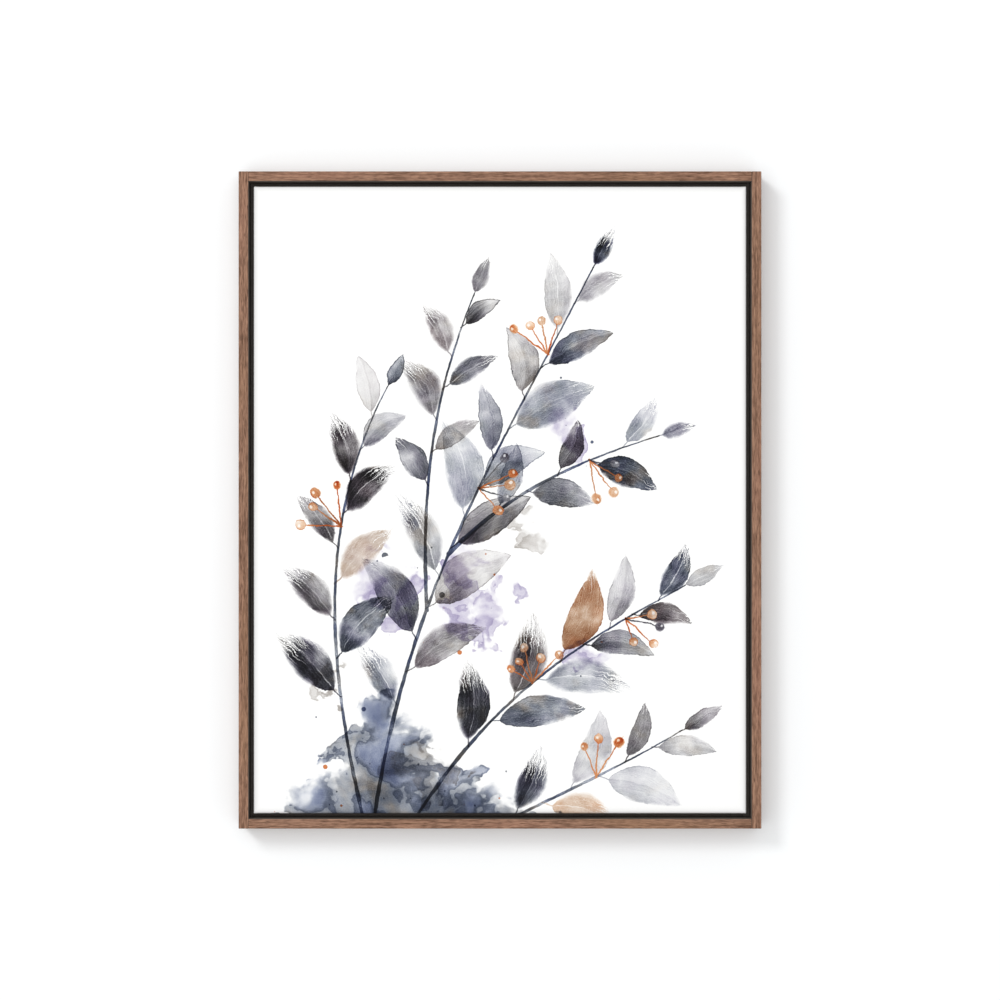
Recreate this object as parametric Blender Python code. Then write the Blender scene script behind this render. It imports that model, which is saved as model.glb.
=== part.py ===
"""A gallery-wrapped canvas in a slim wooden floater frame, hung on a wall by a sawtooth hanger.

Axes: X to the right, Z up, -Y out into the room. The wall is the plane y = 0 and the origin is the
point where the hanger's middle notch sits on its nail. Lengths are in metres.
"""

import math

import bmesh
import bpy
from mathutils import Vector

# Canvas: the finished outside of the wrapped cloth
CANVAS_WIDTH = 0.5588
CANVAS_HEIGHT = 0.7112
CLOTH = 0.0006
CLOTH_EDGE_RADIUS = 0.0015
FLAP_WIDTH = 0.028

# Moulding: an L section, its wall seen from the front as a narrow face, its ledge behind the canvas
FACE_WIDTH = 0.0111
FLOAT_GAP = 0.0057
MOULDING_DEPTH = 0.038
LEDGE_WIDTH = 0.022
LEDGE_THICKNESS = 0.008
ARRIS = 0.0005

# Stretcher bars: mitred, with a front face that falls away from the cloth towards the middle
BAR_WIDTH = 0.038
BAR_DEPTH = 0.0245
BAR_FALL = 0.002
BAR_BEAD = 0.001

# Screws through the ledge into the bars
SCREW_INSET = 0.025
SCREW_SPACING_ACROSS = 0.30
SCREW_SPACING_UP = 0.40
SCREW_HEAD_RADIUS = 0.0035
SCREW_HEAD_HEIGHT = 0.0018
SCREW_SHANK_RADIUS = 0.0017
SCREW_LENGTH = 0.020

# Sawtooth hanger and its two nails
HANGER_LENGTH = 0.046
HANGER_HEIGHT = 0.0095
HANGER_THICKNESS = 0.0008
HANGER_RISE = 0.0012
HANGER_FLAT_END = 0.009
HANGER_RAMP = 0.0015
TOOTH_PITCH = 0.0025
TOOTH_COUNT = 9
TOOTH_DEPTH = 0.0012
NAIL_SPACING = 0.037
NAIL_HEAD_RADIUS = 0.0021
NAIL_HEAD_HEIGHT = 0.0007
NAIL_SHANK_RADIUS = 0.0007
NAIL_LENGTH = 0.0065

# Rubber pads that keep the frame off the wall
PAD_RADIUS = 0.0055
PAD_FLAT_RADIUS = 0.004
PAD_INSET = 0.0165

# Fit and placing
STANDOFF = 0.003
HAIRLINE = 0.0003
HOOK_DROP = 0.020
ROUND_SIDES = 16
HOLE_SIDES = 12

FRAME_WIDTH = CANVAS_WIDTH + 2 * (FLOAT_GAP + FACE_WIDTH)
FRAME_HEIGHT = CANVAS_HEIGHT + 2 * (FLOAT_GAP + FACE_WIDTH)
MIDDLE_Z = HOOK_DROP - FRAME_HEIGHT / 2

# Layers from the wall out into the room, as distances from the wall
FRAME_BACK = STANDOFF
LEDGE_FRONT = FRAME_BACK + LEDGE_THICKNESS
CANVAS_BACK = LEDGE_FRONT + HAIRLINE
BAR_BACK = CANVAS_BACK + CLOTH + HAIRLINE
BAR_FRONT = BAR_BACK + BAR_DEPTH
CANVAS_FRONT = BAR_FRONT + HAIRLINE + CLOTH

# Each side of the picture: its turn about Y from the left-hand side, the distance from the middle
# to the frame's outer face, half the frame's length along the side, and its screws' spacing
SIDES = {
    "left": (0, FRAME_WIDTH / 2, FRAME_HEIGHT / 2, SCREW_SPACING_UP),
    "top": (90, FRAME_HEIGHT / 2, FRAME_WIDTH / 2, SCREW_SPACING_ACROSS),
    "right": (180, FRAME_WIDTH / 2, FRAME_HEIGHT / 2, SCREW_SPACING_UP),
    "bottom": (270, FRAME_HEIGHT / 2, FRAME_WIDTH / 2, SCREW_SPACING_ACROSS),
}


def clear_scene():
    for old in list(bpy.data.objects):
        bpy.data.objects.remove(old)


def material(name, srgb, roughness, metallic=0.0):
    """A Principled material from a colour given as display values from 0 to 255."""
    made = bpy.data.materials.new(name)
    made.use_nodes = True
    shader = made.node_tree.nodes["Principled BSDF"]
    linear = [((c / 255 + 0.055) / 1.055) ** 2.4 if c > 10 else c / 255 / 12.92 for c in srgb]
    shader.inputs["Base Color"].default_value = (*linear, 1.0)
    shader.inputs["Roughness"].default_value = roughness
    shader.inputs["Metallic"].default_value = metallic
    made.diffuse_color = (*linear, 1.0)
    return made


def make_object(name, verts, faces, mat, parent):
    """An object from vertices and faces, with its faces turned to point outwards."""
    mesh = bpy.data.meshes.new(name)
    mesh.from_pydata(verts, [], faces)
    work = bmesh.new()
    work.from_mesh(mesh)
    bmesh.ops.recalc_face_normals(work, faces=work.faces)
    work.to_mesh(mesh)
    work.free()
    made = bpy.data.objects.new(name, mesh)
    bpy.context.scene.collection.objects.link(made)
    made.parent = parent
    if mat:
        mesh.materials.append(mat)
    return made


def loft(rings):
    """Vertices and faces of a closed body through rings of equal count, capped at both ends."""
    count = len(rings[0])
    verts = [point for ring in rings for point in ring]
    faces = [tuple(range(count)), tuple(range(len(verts) - count, len(verts)))]
    for low in range(0, len(verts) - count, count):
        for i in range(count):
            j = (i + 1) % count
            faces.append((low + i, low + j, low + count + j, low + count + i))
    return verts, faces


def side_bar(name, side, section, half_length, mitre, inset, mat, parent):
    """A straight bar along one side of the picture.

    The section's points are (inwards, out from the wall). Its ends are square, or cut back by the
    inward distance for a mitre. It stands inset from the frame's outer face.
    """
    angle, reach, _, _ = SIDES[side]
    rings = []
    for end in (-1, 1):
        rings.append([(u, -v, end * (half_length - mitre * u)) for u, v in section])
    bar = make_object(name, *loft(rings), mat, parent)
    bar.rotation_euler.y = math.radians(angle)
    bar.location = inward(side) * (inset - reach)
    return bar


def inward(side):
    """The direction from one side of the picture to its middle."""
    angle = math.radians(SIDES[side][0])
    return Vector((math.cos(angle), 0, -math.sin(angle)))


def along(side):
    """The direction in which one side of the picture runs."""
    angle = math.radians(SIDES[side][0])
    return Vector((math.sin(angle), 0, math.cos(angle)))


def turned(name, profile, sides, mat, parent):
    """A round piece about its Y axis, from points (radius, out from the wall) off the axis."""
    rings = []
    for radius, out in profile:
        turns = [2 * math.pi * i / sides for i in range(sides)]
        rings.append([(radius * math.cos(t), -out, radius * math.sin(t)) for t in turns])
    made = make_object(name, *loft(rings), mat, parent)
    made.data.shade_smooth()
    made.data.set_sharp_from_angle(angle=math.radians(35))
    return made


def cut(target, cutter):
    """Take the cutter's shape away from the target."""
    boolean = target.modifiers.new("cut_" + cutter.name, "BOOLEAN")
    boolean.operation = "DIFFERENCE"
    boolean.object = cutter


def as_cutter(made):
    made.hide_render = True
    made.display_type = "WIRE"
    return made


def drill(name, places, radius, near, far, parent):
    """One cutter holding a straight round drill at each place, from near to far off the wall."""
    verts, faces = [], []
    for place in places:
        rings = []
        for out in (near, far):
            turns = [2 * math.pi * i / HOLE_SIDES for i in range(HOLE_SIDES)]
            rings.append(
                [(place.x + radius * math.cos(t), -out, place.z + radius * math.sin(t)) for t in turns]
            )
        more_verts, more_faces = loft(rings)
        faces += [tuple(i + len(verts) for i in face) for face in more_faces]
        verts += more_verts
    return as_cutter(make_object(name, verts, faces, None, parent))


def screw_places():
    """Where the screws go, two on each side, measured from the picture's middle."""
    places = {}
    for side, (_, reach, _, spacing) in SIDES.items():
        for number, offset in enumerate((-spacing / 2, spacing / 2), 1):
            places[f"screw_{side}_{number}"] = (
                inward(side) * (SCREW_INSET - reach) + along(side) * offset
            )
    return places


def nail_places():
    height = -MIDDLE_Z + HANGER_HEIGHT / 2 - TOOTH_DEPTH / 2
    return [Vector((x, 0, height)) for x in (-NAIL_SPACING / 2, NAIL_SPACING / 2)]


def build_mouldings(walnut, holes, centre):
    """Full-height stiles, and rails butted between them and lapped over the stiles' ledges."""
    front = FRAME_BACK + MOULDING_DEPTH
    section = [
        (0, FRAME_BACK + ARRIS),
        (0, front - ARRIS),
        (ARRIS, front),
        (FACE_WIDTH - ARRIS, front),
        (FACE_WIDTH, front - ARRIS),
        (FACE_WIDTH, LEDGE_FRONT),
        (FACE_WIDTH + LEDGE_WIDTH, LEDGE_FRONT),
        (FACE_WIDTH + LEDGE_WIDTH, FRAME_BACK),
        (ARRIS, FRAME_BACK),
    ]
    for side, name in (("left", "stile_left"), ("right", "stile_right")):
        stile = side_bar(name, side, section, SIDES[side][2], 0, 0, walnut, centre)
        cut(stile, holes["ledge"])
    for side, name in (("top", "rail_top"), ("bottom", "rail_bottom")):
        half = SIDES[side][2] - FACE_WIDTH - HAIRLINE
        rail = side_bar(name, side, section, half, 0, 0, walnut, centre)
        cut(rail, ledge_notches(side, half, centre))
        cut(rail, holes["ledge"])
        if side == "top":
            cut(rail, holes["nails"])


def ledge_notches(side, half_length, parent):
    """Cutter that takes a rail's ends back where they pass over the stiles' ledges."""
    spare = 0.002
    verts, faces = [], []
    for end in (-1, 1):
        rings = []
        for z in (half_length - LEDGE_WIDTH, half_length + spare):
            low, high = FRAME_BACK - spare, LEDGE_FRONT + HAIRLINE
            width = FACE_WIDTH + LEDGE_WIDTH + spare
            box = [(-spare, -low), (-spare, -high), (width, -high), (width, -low)]
            rings.append([(u, y, end * z) for u, y in box])
        more_verts, more_faces = loft(rings)
        faces += [tuple(i + len(verts) for i in face) for face in more_faces]
        verts += more_verts
    notches = as_cutter(make_object(f"notches_{side}", verts, faces, None, parent))
    notches.rotation_euler.y = math.radians(SIDES[side][0])
    notches.location = -inward(side) * SIDES[side][1]
    return notches


def build_stretcher(pine, holes, centre):
    """Four bars mitred at the corners, just inside the cloth."""
    inset = FACE_WIDTH + FLOAT_GAP + CLOTH + HAIRLINE
    section = [
        (0, BAR_BACK),
        (0, BAR_FRONT - BAR_BEAD),
        (BAR_BEAD, BAR_FRONT),
        (BAR_WIDTH, BAR_FRONT - BAR_FALL),
        (BAR_WIDTH, BAR_BACK),
    ]
    for side in SIDES:
        half = SIDES[side][2] - inset - HAIRLINE * math.sqrt(0.5)
        bar = side_bar(f"stretcher_{side}", side, section, half, 1, inset, pine, centre)
        cut(bar, holes["bars"])


def build_canvas(cotton, holes, centre):
    """The cloth as one tray: a flat front, four sides and flaps folded in behind the bars."""
    radius = CLOTH_EDGE_RADIUS
    bend = radius * (1 - math.sqrt(0.5))
    levels = [
        (radius, CANVAS_FRONT),
        (bend, CANVAS_FRONT - bend),
        (0, CANVAS_FRONT - radius),
        (0, CANVAS_BACK),
        (FLAP_WIDTH, CANVAS_BACK),
        (FLAP_WIDTH, CANVAS_BACK + CLOTH),
        (CLOTH, CANVAS_BACK + CLOTH),
        (CLOTH, CANVAS_FRONT - CLOTH),
    ]
    rings = []
    for inset, out in levels:
        x, z = CANVAS_WIDTH / 2 - inset, CANVAS_HEIGHT / 2 - inset
        rings.append([(-x, -out, -z), (x, -out, -z), (x, -out, z), (-x, -out, z)])
    canvas = make_object("canvas", *loft(rings), cotton, centre)
    cut(canvas, holes["flaps"])


def build_screws(steel, centre):
    head_back = FRAME_BACK - HAIRLINE
    profile = [
        (SCREW_HEAD_RADIUS * 0.7, head_back - SCREW_HEAD_HEIGHT),
        (SCREW_HEAD_RADIUS, head_back - SCREW_HEAD_HEIGHT * 0.4),
        (SCREW_HEAD_RADIUS, head_back),
        (SCREW_SHANK_RADIUS, head_back),
        (SCREW_SHANK_RADIUS, head_back + SCREW_LENGTH * 0.85),
        (SCREW_SHANK_RADIUS * 0.2, head_back + SCREW_LENGTH),
    ]
    for name, place in screw_places().items():
        turned(name, profile, ROUND_SIDES, steel, centre).location = place


def build_hanger(zinc, holes, centre):
    """A pressed plate nailed at its ends, its middle stood off the rail, teeth along its lower edge."""
    flat, raised = FRAME_BACK - HAIRLINE, FRAME_BACK - HAIRLINE - HANGER_RISE
    half = HANGER_LENGTH / 2
    root = -MIDDLE_Z
    top = root + HANGER_HEIGHT - TOOTH_DEPTH
    end = half - HANGER_FLAT_END
    stations = [(-half, flat, root - TOOTH_DEPTH), (-end, flat, root - TOOTH_DEPTH)]
    stations.append((-end + HANGER_RAMP, raised, root - TOOTH_DEPTH))
    for notch in range(TOOTH_COUNT):
        x = (notch - (TOOTH_COUNT - 1) / 2) * TOOTH_PITCH
        stations.append((x - TOOTH_PITCH / 2, raised, root - TOOTH_DEPTH))
        stations.append((x, raised, root))
    stations.append((TOOTH_COUNT * TOOTH_PITCH / 2, raised, root - TOOTH_DEPTH))
    stations.append((end - HANGER_RAMP, raised, root - TOOTH_DEPTH))
    stations += [(end, flat, root - TOOTH_DEPTH), (half, flat, root - TOOTH_DEPTH)]
    rings = []
    for x, out, low in stations:
        back = out - HANGER_THICKNESS
        rings.append([(x, -out, low), (x, -back, low), (x, -back, top), (x, -out, top)])
    hanger = make_object("hanger", *loft(rings), zinc, centre)
    cut(hanger, holes["nails"])


def build_nails(steel, centre):
    head_front = FRAME_BACK - 2 * HAIRLINE - HANGER_THICKNESS
    profile = [
        (NAIL_HEAD_RADIUS * 0.6, head_front - NAIL_HEAD_HEIGHT),
        (NAIL_HEAD_RADIUS, head_front - NAIL_HEAD_HEIGHT * 0.3),
        (NAIL_HEAD_RADIUS, head_front),
        (NAIL_SHANK_RADIUS, head_front),
        (NAIL_SHANK_RADIUS, head_front + NAIL_LENGTH * 0.9),
        (NAIL_SHANK_RADIUS * 0.2, head_front + NAIL_LENGTH),
    ]
    for name, place in zip(("nail_left", "nail_right"), nail_places()):
        turned(name, profile, HOLE_SIDES, steel, centre).location = place


def build_pads(rubber, centre):
    """A pad at each corner of the frame's back, flat where it meets the wall."""
    seat = STANDOFF - HAIRLINE
    profile = [
        (PAD_FLAT_RADIUS, 0),
        (PAD_RADIUS * 0.9, seat * 0.2),
        (PAD_RADIUS, seat * 0.5),
        (PAD_RADIUS, seat),
    ]
    x, z = FRAME_WIDTH / 2 - PAD_INSET, FRAME_HEIGHT / 2 - PAD_INSET
    corners = {"top_left": (-x, z), "top_right": (x, z), "bottom_left": (-x, -z), "bottom_right": (x, -z)}
    for corner, (px, pz) in corners.items():
        turned(f"pad_{corner}", profile, ROUND_SIDES, rubber, centre).location = (px, 0, pz)


def main():
    clear_scene()
    walnut = material("walnut", (149, 114, 94), 0.55)
    pine = material("pine", (222, 198, 156), 0.7)
    cotton = material("cotton", (248, 248, 246), 0.9)
    steel = material("steel", (188, 186, 180), 0.35, 1.0)
    zinc = material("zinc", (172, 174, 176), 0.4, 1.0)
    rubber = material("rubber", (64, 64, 66), 0.8)

    centre = bpy.data.objects.new("picture_centre", None)
    bpy.context.scene.collection.objects.link(centre)
    centre.location.z = MIDDLE_Z

    screws = list(screw_places().values())
    screw_hole = SCREW_SHANK_RADIUS + HAIRLINE * 1.3
    nail_hole = NAIL_SHANK_RADIUS + HAIRLINE * 1.3
    screw_end = FRAME_BACK + SCREW_LENGTH + HAIRLINE
    nail_end = FRAME_BACK + NAIL_LENGTH
    holes = {
        "ledge": drill("ledge_drill", screws, screw_hole, 0, CANVAS_BACK, centre),
        "flaps": drill("flap_drill", screws, screw_hole, LEDGE_FRONT, BAR_BACK, centre),
        "bars": drill("bar_drill", screws, screw_hole, LEDGE_FRONT, screw_end, centre),
        "nails": drill("nail_drill", nail_places(), nail_hole, 0, nail_end, centre),
    }

    build_mouldings(walnut, holes, centre)
    build_stretcher(pine, holes, centre)
    build_canvas(cotton, holes, centre)
    build_screws(steel, centre)
    build_hanger(zinc, holes, centre)
    build_nails(steel, centre)
    build_pads(rubber, centre)


if __name__ == "__main__":
    main()
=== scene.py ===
"""A gallery-wrapped canvas in a slim wooden floater frame, laid out as a Blender add-on.

Axes are the frame's own: X to the right, Z up, -Y out into the room, and the wall is y = 0.
"In" is the distance from a side's outer face towards the picture's middle, "out" the distance
from the wall, and "along" runs down the length of a side. Lengths are in metres.
"""

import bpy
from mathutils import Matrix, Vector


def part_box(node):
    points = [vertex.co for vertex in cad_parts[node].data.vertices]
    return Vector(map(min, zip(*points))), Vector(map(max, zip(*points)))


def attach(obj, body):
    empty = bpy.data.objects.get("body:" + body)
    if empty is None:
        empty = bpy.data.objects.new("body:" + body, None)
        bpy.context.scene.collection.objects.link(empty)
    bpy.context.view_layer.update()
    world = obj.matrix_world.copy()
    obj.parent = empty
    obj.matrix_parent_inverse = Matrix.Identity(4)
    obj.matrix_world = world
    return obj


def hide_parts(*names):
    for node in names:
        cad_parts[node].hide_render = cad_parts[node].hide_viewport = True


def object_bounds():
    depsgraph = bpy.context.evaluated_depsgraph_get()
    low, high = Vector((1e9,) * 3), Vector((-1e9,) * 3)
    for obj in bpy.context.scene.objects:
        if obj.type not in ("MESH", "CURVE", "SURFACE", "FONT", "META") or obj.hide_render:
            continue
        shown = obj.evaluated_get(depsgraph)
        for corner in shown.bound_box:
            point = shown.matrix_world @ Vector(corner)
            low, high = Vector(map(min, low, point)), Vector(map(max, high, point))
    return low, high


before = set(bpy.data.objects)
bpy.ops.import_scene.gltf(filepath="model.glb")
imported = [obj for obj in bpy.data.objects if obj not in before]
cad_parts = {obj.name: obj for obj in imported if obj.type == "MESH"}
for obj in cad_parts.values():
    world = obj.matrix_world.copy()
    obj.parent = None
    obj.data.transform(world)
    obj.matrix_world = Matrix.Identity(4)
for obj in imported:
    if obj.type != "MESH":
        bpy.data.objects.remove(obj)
cad_box = [list(corner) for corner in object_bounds()]

import functools
import inspect
import math

import bmesh
import bpy
import numpy as np
from bpy.props import FloatProperty, FloatVectorProperty, IntProperty, PointerProperty

bl_info = {
    "name": "Floater-framed canvas",
    "version": (1, 0, 0),
    "blender": (4, 5, 0),
    "location": "View3D > Sidebar > Canvas",
    "description": "Builds a floater-framed canvas picture round its packed frame",
    "category": "Object",
}

# ---------------------------------------------------------------- sizes read from the frame


def corners_of(node):
    """A node's lowest and highest corners."""
    return [np.array(corner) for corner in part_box(node)]


stile_low, stile_high = corners_of("stile_left")
_, rail_high = corners_of("rail_top")
cloth_low, cloth_high = corners_of("canvas")
bar_low, bar_high = corners_of("stretcher_left")

HAIRLINE = 0.0003
HALF_WIDTH = -stile_low[0]
HALF_HEIGHT = (stile_high[2] - stile_low[2]) / 2
MIDDLE_Z = (stile_high[2] + stile_low[2]) / 2
FACE = HALF_WIDTH - rail_high[0] - HAIRLINE
SECTION = stile_high[0] - stile_low[0]
BACK, FRONT = -stile_high[1], -stile_low[1]
CLOTH_HALF = np.array([cloth_high[0], (cloth_high[2] - cloth_low[2]) / 2])
CLOTH_BACK, CLOTH_FRONT = -cloth_high[1], -cloth_low[1]
LEDGE_FRONT = CLOTH_BACK - HAIRLINE
BAR_BACK, BAR_FRONT = -bar_high[1], -bar_low[1]
BAR_WIDTH = bar_high[0] - bar_low[0]
BAR_IN = bar_low[0] - stile_low[0]
BAR_FALL = 0.002
FLAP = 0.028

# Each side: its turn about Y from the left-hand side, the reach from the middle to the frame's
# outer face, and half the frame's length along it
SIDES = {
    "left": (0, HALF_WIDTH, HALF_HEIGHT),
    "top": (90, HALF_HEIGHT, HALF_WIDTH),
    "right": (180, HALF_WIDTH, HALF_HEIGHT),
    "bottom": (270, HALF_HEIGHT, HALF_WIDTH),
}


def display(*channels):
    """A colour given as display values from 0 to 255, as linear light."""
    return tuple(((c / 255 + 0.055) / 1.055) ** 2.4 for c in channels)


def a_colour(label, words, *channels):
    """A colour that the user can change, its default in display values."""
    default = display(*channels)
    return FloatVectorProperty(
        name=label, description=words, default=default, subtype="COLOR", size=3, min=0, max=1
    )


def a_length(label, words, default, low, high):
    """A length that the user can change."""
    limits = dict(default=default, min=low, max=high, precision=5)
    return FloatProperty(name=label, description=words, subtype="DISTANCE", **limits)


def a_power(label, words, default):
    """A lamp's power that the user can change."""
    return FloatProperty(name=label, description=words, subtype="POWER", default=default, min=0)


class MouldingFinish(bpy.types.PropertyGroup):
    """Edges and colours of the frame's mouldings and of the bars behind the cloth."""

    arris: a_length("Arris", "Radius of the mouldings' eased edges", 0.0006, 0.0002, 0.002)
    bar_round: a_length("Bar rounding", "Radius of the bars' edges", 0.0015, 0.0005, 0.003)
    light: a_colour("Wood, light", "Lightest grain of the stained wood", 171, 131, 107)
    dark: a_colour("Wood, dark", "Darkest grain of the stained wood", 90, 60, 43)
    pore: a_colour("Wood pores", "Filler left in the open pores", 80, 54, 42)
    recess: a_colour("Recess black", "Paint inside the recess and on the ledge", 90, 83, 76)
    pine: a_colour("Pine", "Spring wood of the stretcher bars", 228, 205, 163)
    pine_ring: a_colour("Pine rings", "Summer wood of the stretcher bars", 199, 158, 103)


class ClothFinish(bpy.types.PropertyGroup):
    """The canvas: its mesh, its slack and its colours."""

    cell: a_length("Cell", "Distance between mesh points over the cloth", 0.0032, 0.002, 0.01)
    fine_cell: a_length("Corner cell", "The same distance at the corners", 0.001, 0.0005, 0.003)
    corner: a_length("Corner zone", "Width of the finer mesh at a corner", 0.028, 0.01, 0.05)
    edge: a_length("Edge radius", "Radius of the cloth over the bars", 0.0026, 0.0005, 0.003)
    turn: a_length("Corner radius", "Radius of the folded corners", 0.0009, 0.0005, 0.004)
    slack: a_length("Slack", "How far the cloth's middle hangs back", 0.0005, 0.0, 0.002)
    fold: a_length("Fold", "Thickness of the folded corner", 0.0005, 0.0001, 0.001)
    thread: a_length("Thread", "Distance between the cloth's threads", 0.0008, 0.0004, 0.002)
    staple_pitch: a_length("Staple pitch", "Distance between staples", 0.046, 0.02, 0.1)
    ground: a_colour("Ground", "Primed face of the canvas", 250, 250, 249)
    raw: a_colour("Raw cotton", "Bare back of the canvas", 226, 215, 192)


class PaintFinish(bpy.types.PropertyGroup):
    """The printed watercolour of leafy branches and berries."""

    seed: IntProperty(name="Seed", description="Chooses the leaves' small differences", default=11)
    slate: a_colour("Slate", "Cool grey pigment at full strength", 66, 72, 84)
    indigo: a_colour("Indigo", "Bluer pigment at full strength", 62, 72, 104)
    umber: a_colour("Umber", "Warm grey pigment at full strength", 88, 80, 74)
    russet: a_colour("Russet", "Orange-brown pigment at full strength", 192, 96, 46)
    lavender: a_colour("Lavender", "Pale violet pigment at full strength", 150, 140, 178)
    strength: FloatProperty(
        name="Strength", description="Depth of all the pigments", default=1.0, min=0.1, max=2
    )


class StageSettings(bpy.types.PropertyGroup):
    """Room, camera and lights."""

    lens: FloatProperty(
        name="Lens", description="Focal length", subtype="DISTANCE_CAMERA", default=100, min=20
    )
    view_width: a_length("View width", "Width seen at the frame's front", 1.133, 0.5, 3)
    drop: a_length("Floor drop", "From the hanging point down to the floor", 1.8, 1.0, 3)
    wall: a_colour("Wall", "Wall and floor paint", 250, 252, 253)
    key: a_power("Key", "Power of the key light", 164)
    fill: a_power("Fill", "Power of the front light", 114)
    room: FloatProperty(
        name="Room", description="Strength of the light from all round", default=0.66, min=0
    )


SETTINGS = {
    "floater_moulding": MouldingFinish,
    "floater_cloth": ClothFinish,
    "floater_paint": PaintFinish,
    "floater_stage": StageSettings,
}

# ---------------------------------------------------------------- surfaces


def eased(corners, radius, steps=4):
    """A closed outline with every corner rounded.

    Each corner gives way to a quadratic curve from a radius before it to a radius after it, with
    the corner as its control point.
    """
    corners = np.array(corners, float)
    towards_last = np.roll(corners, 1, axis=0) - corners
    towards_next = np.roll(corners, -1, axis=0) - corners
    start = corners + radius * towards_last / np.linalg.norm(towards_last, axis=1)[:, None]
    finish = corners + radius * towards_next / np.linalg.norm(towards_next, axis=1)[:, None]
    k = np.linspace(0, 1, steps)[None, :, None]
    bend = 2 * k * (1 - k) * corners[:, None]
    curve = (1 - k) ** 2 * start[:, None] + bend + k**2 * finish[:, None]
    return curve.reshape(-1, 2)


def grid_quads(rows, columns, wrap=False):
    """Quads joining neighbours on a grid of points stored row by row; wrap closes each row."""
    row = np.arange(rows - 1)[:, None] * columns
    column = np.arange(columns if wrap else columns - 1)[None, :]
    after = (column + 1) % columns
    corners = [row + column, row + after, row + columns + after, row + columns + column]
    return np.stack(np.broadcast_arrays(*corners), axis=-1).reshape(-1, 4)


def smooth_step(value, low, high):
    """0 below low, 1 above high, and an S curve between."""
    t = np.clip((value - low) / (high - low), 0, 1)
    return t * t * (3 - 2 * t)


def seat(side, inward, out, along):
    """Points given by in, out and along of one side, as positions in the frame."""
    angle, reach, _ = SIDES[side]
    angle = math.radians(angle)
    inward, out, along = np.broadcast_arrays(inward, out, along)
    x = (inward - reach) * math.cos(angle) + along * math.sin(angle)
    z = (reach - inward) * math.sin(angle) + along * math.cos(angle) + MIDDLE_Z
    return np.stack([x, -out, z], axis=-1)


def add_attribute(mesh, name, kind, values):
    """A value for each point of the mesh, which its material reads by name."""
    field = "color" if kind == "FLOAT_COLOR" else "vector"
    layer = mesh.attributes.new(name, kind, "POINT")
    layer.data.foreach_set(field, values.astype(np.float32).ravel())


def add_map(mesh, name, values):
    """A UV map from one pair of values for each face corner, in face order."""
    layer = mesh.uv_layers.new(name=name)
    layer.data.foreach_set("uv", np.asarray(values, np.float32).ravel())


def add_object(name, data):
    """An object in the scene."""
    made = bpy.data.objects.new(name, data)
    bpy.context.scene.collection.objects.link(made)
    return made


def make_piece(name, points, faces, materials, slot, stands_for=(), slots=None):
    """An object that rides on the frame and takes the place of the nodes it stands for."""
    mesh = bpy.data.meshes.new(name)
    mesh.from_pydata(np.asarray(points).reshape(-1, 3).tolist(), [], [list(face) for face in faces])
    for finish in materials:
        mesh.materials.append(finish)
    if slots is not None:
        mesh.polygons.foreach_set("material_index", np.asarray(slots, np.int32))
    piece = add_object(name, mesh)
    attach(piece, "root")
    if stands_for:
        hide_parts(*stands_for)
    return piece


def close_up(piece, crease=40):
    """Merge doubled points, turn the faces outwards and keep edges over the crease angle sharp."""
    work = bmesh.new()
    work.from_mesh(piece.data)
    bmesh.ops.remove_doubles(work, verts=work.verts, dist=1e-6)
    bmesh.ops.dissolve_degenerate(work, edges=work.edges, dist=1e-6)
    bmesh.ops.recalc_face_normals(work, faces=work.faces)
    work.to_mesh(piece.data)
    work.free()
    piece.data.shade_smooth()
    piece.data.set_sharp_from_angle(angle=math.radians(crease))


def turned(profile, sides):
    """Points of a turned shape on rows of in-plane circles, from rows of (radius, out)."""
    radius, out = np.array(profile, float).T[..., None]
    turn = np.linspace(0, 2 * math.pi, sides, endpoint=False)
    circles = np.broadcast_arrays(radius * np.cos(turn), -out, radius * np.sin(turn))
    return np.stack(circles, axis=-1)


def capped(rows, columns):
    """Faces of a closed tube of rows x columns points, with one flat face over each end."""
    faces = grid_quads(rows, columns, wrap=True).tolist()
    faces.append(list(range(columns)))
    faces.append(list(range((rows - 1) * columns, rows * columns)))
    return faces


# ---------------------------------------------------------------- shader wiring

POINT = (0.0, 0.0, 0.0)


def before_and_after(operation):
    """The two methods that let a Value stand before, or after, the sign of an operation."""
    return (
        lambda value, other: reckon(operation, value, other),
        lambda value, other: reckon(operation, other, value),
    )


class Value:
    """What a node gives. A sign between it and another Value or a constant adds a node."""

    def __init__(self, socket):
        self.socket = socket
        self.tree = socket.id_data

    __add__, __radd__ = before_and_after("ADD")
    __sub__, __rsub__ = before_and_after("SUBTRACT")
    __mul__, __rmul__ = before_and_after("MULTIPLY")
    __truediv__, __rtruediv__ = before_and_after("DIVIDE")

    def __lt__(self, other):
        return reckon("LESS_THAN", self, other)

    def __gt__(self, other):
        return reckon("GREATER_THAN", self, other)

    def __abs__(self):
        return reckon("ABSOLUTE", self)


def is_vector(value):
    """Whether a Value or a constant has three parts."""
    if isinstance(value, Value):
        return value.socket.type in ("VECTOR", "RGBA")
    return isinstance(value, tuple)


def feed(sockets, inputs):
    """Link each socket, found by number or name, to its Value, or set its constant."""
    for key, value in inputs.items():
        if isinstance(value, Value):
            value.tree.links.new(value.socket, sockets[key])
        else:
            sockets[key].default_value = value


def new_node(kind, inputs, tree=None, **settings):
    """Add a node to the tree given, or to the one its first Value is from, and feed its inputs."""
    tree = tree or next(value.tree for value in inputs.values() if isinstance(value, Value))
    made = tree.nodes.new(kind)
    for name, setting in settings.items():
        setattr(made, name, setting)
    feed(made.inputs, inputs)
    return made


def outputs(node):
    """What a node gives, by name."""
    return {socket.name: Value(socket) for socket in node.outputs}


def source(tree, kind, **settings):
    """What a node without inputs gives, by name."""
    return outputs(new_node(kind, {}, tree, **settings))


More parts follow.
